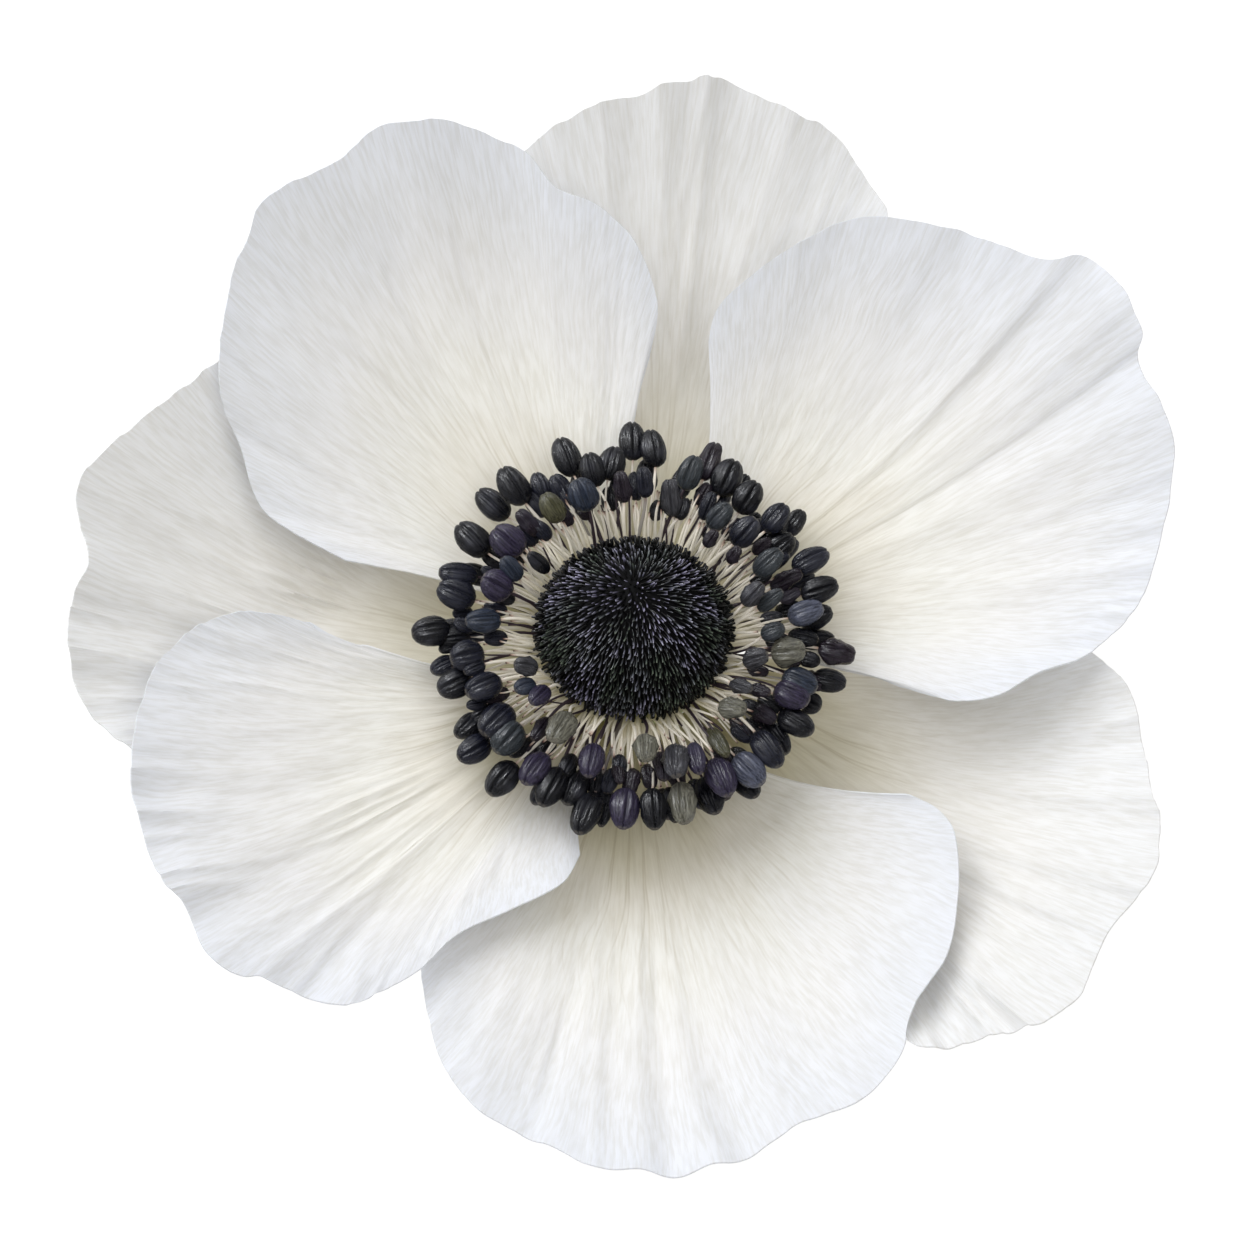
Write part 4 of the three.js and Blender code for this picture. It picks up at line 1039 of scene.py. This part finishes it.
def anther_material():
    """Pollen sacs: smooth dry skin, black with a blue or purple bloom, finely wrinkled lengthwise."""
    material, tree = new_material("pollen_sac_skin")
    own = add(tree, "Attribute", attribute_name="own").outputs["Vector"]
    tint = add(tree, "Attribute", attribute_name="tint").outputs["Color"]
    body = add(tree, "TexCoord").outputs["Object"]

    # Wrinkles about 0.1 mm apart. They also darken the skin in their hollows and lighten it on their ridges,
    # which is partly its own streaky tone and partly painted shade
    part = add(tree, "VectorMath", {0: own, 1: (2.5, 16.0, 16.0)}, operation="MULTIPLY")
    part = add(tree, "VectorMath", {0: body, 1: (400.0,) * 3, 2: part}, operation="MULTIPLY_ADD")
    grain = add(tree, "TexNoise", {"Vector": part, "Scale": 1.0, "Detail": 3.0})
    dim = add(tree, "MapRange", {
        "Value": grain, "From Min": 0.34, "From Max": 0.66, "To Min": 0.5, "To Max": 1.5,
    })
    tone = add(tree, "Mix", {"Factor": 1.0, "A": tint, "B": dim}, data_type="RGBA", blend_type="MULTIPLY")

    # Dusty bloom in patches about 1.4 mm across, which also dulls the gloss
    cloud = add(tree, "TexNoise", {"Vector": body, "Scale": 700.0, "Detail": 2.0})
    bloom = add(tree, "MapRange", {
        "Value": cloud, "From Min": 0.52, "From Max": 0.75, "To Max": 0.12,
    })
    tone = add(tree, "Mix", {"Factor": bloom, "A": tone, "B": linear("#6d6f80")}, data_type="RGBA")
    rough = add(tree, "MapRange", {"Value": cloud, "To Min": 0.18, "To Max": 0.36})

    # A dry, paler tip
    end = add(tree, "SeparateXYZ", {0: own}).outputs[0]
    end = add(tree, "MapRange", {"Value": end, "From Min": 0.45, "From Max": 0.49, "To Max": 0.5})
    tone = add(tree, "Mix", {"Factor": end, "A": tone, "B": linear("#7d7468")}, data_type="RGBA")
    bump = add(tree, "Bump", {"Strength": 0.8, "Distance": 0.1 * MM, "Height": grain})
    give_skin(tree, tone, {"Roughness": rough, "IOR": 1.45, "Specular IOR Level": 0.4, "Normal": bump})
    return material


def filament_path(root_turn, base, way, draw):
    """A filament's middle line: out of the ring, up in a soft bend, and into the foot of its anther."""
    root_level = draw.uniform(*ROOT_LEVELS)
    out = np.array([math.cos(root_turn), math.sin(root_turn), 0])
    start = out * ROOT_RADIUS + [0, 0, root_level]
    bend = out * (ROOT_RADIUS + ROOT_BEND[0]) + [0, 0, root_level + ROOT_BEND[1]]
    end = base + way * FILAMENT_SUNK
    before = end - way * FOOT_BEND
    share = np.linspace(0, 1, FILAMENT_STEPS)[:, None]
    path = (
        start * (1 - share) ** 3 + bend * 3 * share * (1 - share) ** 2
        + before * 3 * share**2 * (1 - share) + end * share**3
    )
    return path + np.sin(share * math.pi) * draw.uniform(-FILAMENT_SWAY, FILAMENT_SWAY, 3)


def filament_mesh(anthers, draw):
    """The middle line of every filament: one to each anther, and many bare ones whose anther has gone. Each
    point has the half width there, how far along it is, and the filament's tint."""
    points, edges, radius, reach, tint = [], [], [], [], []
    ends = [(middle - way * length / 2, way, 1) for middle, way, length, _, _ in anthers]
    for k in range(BARE_FILAMENTS):
        turn = 2 * math.pi * (k + draw.uniform(-0.5, 0.5)) / BARE_FILAMENTS
        far = draw.uniform(*BARE_RING)
        level = np.interp(far, *ANTHER_LEVELS) - draw.uniform(*BARE_DROP)
        base = np.array([far * math.cos(turn), far * math.sin(turn), level])
        way = np.array([math.cos(turn), math.sin(turn), BARE_RISE])
        ends.append((base, way / np.linalg.norm(way), BARE_THICK))
    share = np.linspace(0, 1, FILAMENT_STEPS)
    for base, way, thick in ends:
        turn = math.atan2(base[1], base[0]) + draw.uniform(-0.1, 0.1)
        first = len(points)
        points.extend(filament_path(turn, base, way, draw))
        edges.extend([first + i, first + i + 1] for i in range(FILAMENT_STEPS - 1))
        radius.extend(draw.uniform(*FILAMENT_HALF) * thick * (1 - FILAMENT_TAPER * share))
        reach.extend(share)
        tint.extend([draw.uniform(0, 1)] * FILAMENT_STEPS)
    mesh = bpy.data.meshes.new("filament_lines")
    mesh.from_pydata(((np.array(points) + AXIS) * MM).tolist(), edges, [])
    for title, data in {"width": np.array(radius) * MM, "reach": reach, "tint": tint}.items():
        mesh.attributes.new(title, "FLOAT", "POINT").data.foreach_set("value", np.asarray(data, float))
    return mesh


def filament_tree():
    """Filaments: a flattened tube along each line, as wide as its points say."""
    tree, given = new_tree("filaments", {"Sides": "Int", "Flatness": "Float", "Finish": "Material"})
    lines = add(tree, "MeshToCurve", {"Mesh": given["Geometry"]})
    width = add(tree, "InputNamedAttribute", {"Name": "width"}, data_type="FLOAT")
    lines = add(tree, "SetCurveNormal", {"Curve": lines}, mode="Z_UP")
    ring = add(tree, "CurvePrimitiveCircle", {"Resolution": given["Sides"], "Radius": 1.0})
    flat = add(tree, "CombineXYZ", {0: 1.0, 1: given["Flatness"], 2: 1.0})
    ring = add(tree, "Transform", {"Geometry": ring.outputs["Curve"], "Scale": flat})
    tubes = add(tree, "CurveToMesh", {
        "Curve": lines, "Profile Curve": ring, "Scale": width, "Fill Caps": True,
    })
    return finish_tree(tree, tubes, given["Finish"])


def filament_material():
    """Filaments: pale juicy stalks, yellow-green at the root, then cream, and brown by the sac, with a faint
    painted glow.
    """
    material, tree = new_material("filament_cream")
    reach = add(tree, "Attribute", attribute_name="reach").outputs["Fac"]
    tint = add(tree, "Attribute", attribute_name="tint").outputs["Fac"]
    body = add(tree, "TexCoord").outputs["Object"]
    tone = add(tree, "ValToRGB", {"Fac": reach}, stops=[
        (0, "#b3ab77"), (0.25, "#ddd6bd"), (0.45, "#eee9db"), (0.85, "#efe9de"), (0.95, "#cdb5a4"),
        (1, "#5c3f3c"),
    ])

    # About one in six is dark, and the others vary a little
    dark = add(tree, "MapRange", {"Value": tint, "From Min": 0.8, "From Max": 0.84, "To Max": 0.98})
    tone = add(tree, "Mix", {"Factor": dark, "A": tone, "B": linear("#2a1c28")}, data_type="RGBA")
    dim = add(tree, "MapRange", {"Value": tint, "From Max": 0.8, "To Min": 0.75, "To Max": 1.05})
    tone = add(tree, "Mix", {"Factor": 1.0, "A": tone, "B": dim}, data_type="RGBA", blend_type="MULTIPLY")
    grain = add(tree, "TexNoise", {"Vector": body, "Scale": 4000.0, "Detail": 2.0})  # 0.25 mm across
    bump = add(tree, "Bump", {"Strength": 0.3, "Distance": 0.03 * MM, "Height": grain})

    # Painted light: the stalks glow a little all over, which brightens them where they stand close in each
    # other's shade
    give_skin(tree, tone, {
        "Roughness": 0.45, "IOR": 1.42, "Specular IOR Level": 0.4, "Normal": bump,
        "Emission Color": tone, "Emission Strength": 0.14,
    }, through=0.2)
    material.cycles.emission_sampling = "NONE"
    return material


# Receptacle and stem stub


def receptacle_mesh():
    """A turned form that flares from the stem, with a shoulder and soft ribs down the stem."""
    radius, level = on_curve(STEM_PROFILE, np.linspace(0, 1, STEM_RINGS))
    turn = np.arange(STEM_AROUND) * 2 * math.pi / STEM_AROUND
    points = []
    for r, z in zip(radius, level):
        form = 1 + RIB_HEIGHT * np.cos(STEM_RIBS * turn + 0.4) * (z < STEM_TOP)
        form = r * (form + STEM_ROUGH * drift(turn * 8, turn * 0 + z * 3, STEM_SEED))
        points.append(np.stack([form * np.cos(turn), form * np.sin(turn), z + turn * 0], -1))
    points = np.concatenate([*points, [[0, 0, level[-1]], [0, 0, level[0] + CUT_DENT]]]) + AXIS
    return add_mesh("receptacle", points * MM, ring_faces(STEM_AROUND, STEM_RINGS))


def stem_material():
    """Stem: fresh green skin with a fine down, which dulls it. The cut end shows paler pith."""
    material, tree = new_material("stem_downy_green")
    body = add(tree, "TexCoord").outputs["Object"]
    # Down 0.17 mm apart and five times as long, coarser than life so that it shows, over patches 2 mm across
    long = add(tree, "VectorMath", {0: body, 1: (1.0, 1.0, 0.2)}, operation="MULTIPLY")
    down = add(tree, "TexNoise", {"Vector": long, "Scale": 6000.0, "Detail": 2.0})
    cloud = add(tree, "TexNoise", {"Vector": body, "Scale": 500.0, "Detail": 2.0})
    tone = add(tree, "ValToRGB", {"Fac": cloud}, stops=[
        (0.3, "#6f8244"), (0.5, "#8f9d5f"), (0.7, "#a9a877"),
    ])
    height = add(tree, "SeparateXYZ", {0: body}).outputs[2]
    cut = add(tree, "MapRange", {
        "Value": height, "From Min": 0.62 * MM, "From Max": 0.55 * MM, "To Max": 0.8,
    })
    tone = add(tree, "Mix", {"Factor": cut, "A": tone, "B": linear("#cfd3a0")}, data_type="RGBA")
    pale = add(tree, "MapRange", {"Value": down, "From Min": 0.5, "From Max": 0.7, "To Max": 0.35})
    tone = add(tree, "Mix", {"Factor": pale, "A": tone, "B": linear("#d9dcc4")}, data_type="RGBA")
    bump = add(tree, "Bump", {"Strength": 0.5, "Distance": 0.05 * MM, "Height": down})
    give_skin(tree, tone, {"Roughness": 0.6, "IOR": 1.42, "Sheen Weight": 0.3, "Normal": bump})
    return material


# Camera, light and floor


def make_camera():
    """The camera, which looks down at the flower from in front of it."""
    lens = bpy.data.cameras.new("camera")
    lens.sensor_width = SENSOR
    lens.lens = SENSOR * VIEW_DISTANCE / VIEW_WIDTH
    lens.clip_start, lens.clip_end = CLIP
    camera = bpy.data.objects.new("camera", lens)
    back = np.array([0, -math.cos(VIEW_RISE), math.sin(VIEW_RISE)])
    target = AXIS + [*VIEW_CENTRE, DOME_CENTRE]
    camera.location = (target + back * VIEW_DISTANCE) * MM
    camera.rotation_euler = (math.pi / 2 - VIEW_RISE, 0, 0)
    scene.collection.objects.link(camera)
    scene.camera = camera


def make_light(name, position, width, power, colour, soft=True, glints=True):
    """A square lamp that faces the flower, with its place and width in metres. "soft" is for its light on
    matt skin, "glints" for its shine in the gloss."""
    lamp = bpy.data.lights.new(name, "AREA")
    lamp.shape = "SQUARE"
    lamp.size = width
    lamp.energy = power
    lamp.color = linear(colour)[:3]
    holder = bpy.data.objects.new(name, lamp)
    holder.location = position
    holder.visible_diffuse = soft
    holder.visible_glossy = glints
    holder.rotation_euler = (-Vector(position)).to_track_quat("-Z", "Y").to_euler()
    scene.collection.objects.link(holder)


def make_floor():
    """A white sheet of paper under the flower, out past the edges of the picture."""
    mesh = bpy.data.meshes.new("floor")
    corners = [(-1, -1), (1, -1), (1, 1), (-1, 1)]
    mesh.from_pydata([(x * FLOOR_HALF, y * FLOOR_HALF, 0) for x, y in corners], [], [(0, 1, 2, 3)])
    material, tree = new_material("floor_white")
    body = add(tree, "TexCoord").outputs["Object"]
    grain = add(tree, "TexNoise", {"Vector": body, "Scale": 900.0, "Detail": 2.0})  # 1.1 mm across
    tone = add(tree, "ValToRGB", {"Fac": grain}, stops=[(0, "#7c7c7c"), (1, "#808080")])
    give_skin(tree, tone, {
        "Roughness": 0.9, "Emission Color": linear("#ffffff"), "Emission Strength": 0.88,
    })
    material.cycles.emission_sampling = "NONE"
    mesh.materials.append(material)
    floor = bpy.data.objects.new("floor", mesh)
    floor.location.z = -FLOOR_GAP * MM
    scene.collection.objects.link(floor)


make_camera()
scene.view_settings.view_transform = "Standard"
scene.cycles.max_bounces = 5
scene.cycles.diffuse_bounces = 3
scene.cycles.glossy_bounces = 2
scene.cycles.transmission_bounces = 3
world = bpy.data.worlds.new("studio")
world.use_nodes = True
backdrop = world.node_tree.nodes["Background"].inputs
backdrop["Color"].default_value = linear("#fffcf5")
backdrop["Strength"].default_value = 0.4
scene.world = world
make_light("key", (-0.42, 0.48, 0.75), width=1.2, power=8.9, colour="#f9fbff")
make_light("fill", (0.2, -0.3, 0.92), width=0.6, power=2.1, colour="#fffefb", glints=False)
make_light("glint", (-0.45, 0.5, 0.7), width=0.15, power=6.0, colour="#f9fbff", soft=False)
make_floor()

front = petal_material("petal_white_tissue", FRONT_TONES)
# The petals underneath get a copy of the petal tissue with painted shade.
behind = petal_material("petal_tissue_painted_shade", BACK_TONES_SHADED)
for petal, seed in zip(PETALS, PETAL_SEEDS):
    mesh = petal_mesh(petal, seed)
    at_back = petal["layer"] is BACK_LAYER
    mesh.materials.append(behind if at_back else front)
    add_piece(petal["name"] + "_sheet", mesh, "back_petal" if at_back else "front_petal", petal["name"])

flesh = dome_flesh()
bristles = style_tree()
crown = {
    "Whorl": [*((AXIS + [0, WHORL_OFFSET, DOME_CENTRE + DOME_TALL]) * MM)],
    "Heart": [*((AXIS + [0, 0, DOME_CENTRE]) * MM)],
    "Axis": [0.0, -math.cos(VIEW_RISE), math.sin(VIEW_RISE)],
    "Foot": (DOME_FOOT + FRINGE_FOOT) * MM,
    "Finish": style_material(),
}
styles, fringe = (
    grown(name, flesh, bristles, crown | {title: size * MM for title, size in sizes.items()} | given)
    for name, sizes, given in (
        ("styles", STYLES, {"Lean": STYLE_LEAN, "Blunt": 0.0, "Seed": STYLE_SEED}),
        ("fringe", FRINGE, {"Lean": FRINGE_LEAN, "Blunt": 1.0, "Seed": FRINGE_SEED}),
    )
)
flesh.materials.append(flesh_material())
add_piece("dome_flesh", flesh, "style", "dome_of_styles")
add_piece("dome_styles", styles, "style", "dome_of_styles")
add_piece("dome_fringe", fringe, "style", "dome_of_styles")

draw = np.random.default_rng(STAMEN_SEED)
anthers = all_anthers(draw)
turns, sizes, colours, kinds = [], [], [], []
for middle, way, length, width, tint in anthers:
    side = np.cross([0, 0, 1], way)
    side /= np.linalg.norm(side)
    roll = draw.uniform(-ANTHER_ROLL, ANTHER_ROLL)
    side = side * math.cos(roll) + np.cross(way, side) * math.sin(roll)
    turns.append(Matrix([*zip(way, side, np.cross(way, side))]).to_euler())
    sizes.append(np.array([length, width, width * ANTHER_THICK]) * MM)
    colours.append(linear(TINTS[tint]))
    kinds.append(2 if tint in ("grey", "pale", "plum") else draw.integers(0, 2))
spots = add_mesh(
    "anther_spots", (np.array([row[0] for row in anthers]) + AXIS) * MM, [],
    values={"kind": kinds}, vectors={"turn": turns, "size": sizes}, colours={"tint": colours},
)
forms = {}
for k, (name, (girth, crumple)) in enumerate(FORMS.items()):
    forms[name] = bpy.data.objects.new(name, anther_form(name, girth, crumple, FORM_SEED + k))
    scene.collection.objects.link(forms[name])
sacs = grown("anthers", spots, anther_tree(), forms | {"Finish": anther_material()})
for form in forms.values():
    bpy.data.objects.remove(form)
add_piece("anthers", sacs, "stamen", "stamens")
stalks = grown("filaments", filament_mesh(anthers, draw), filament_tree(), {
    "Sides": FILAMENT_SIDES, "Flatness": FILAMENT_FLAT, "Finish": filament_material(),
})
add_piece("filaments", stalks, "stamen", "stamens")

receptacle = receptacle_mesh()
receptacle.materials.append(stem_material())
add_piece("receptacle", receptacle, "stem", "receptacle_and_stem")

bpy.context.view_layer.update()
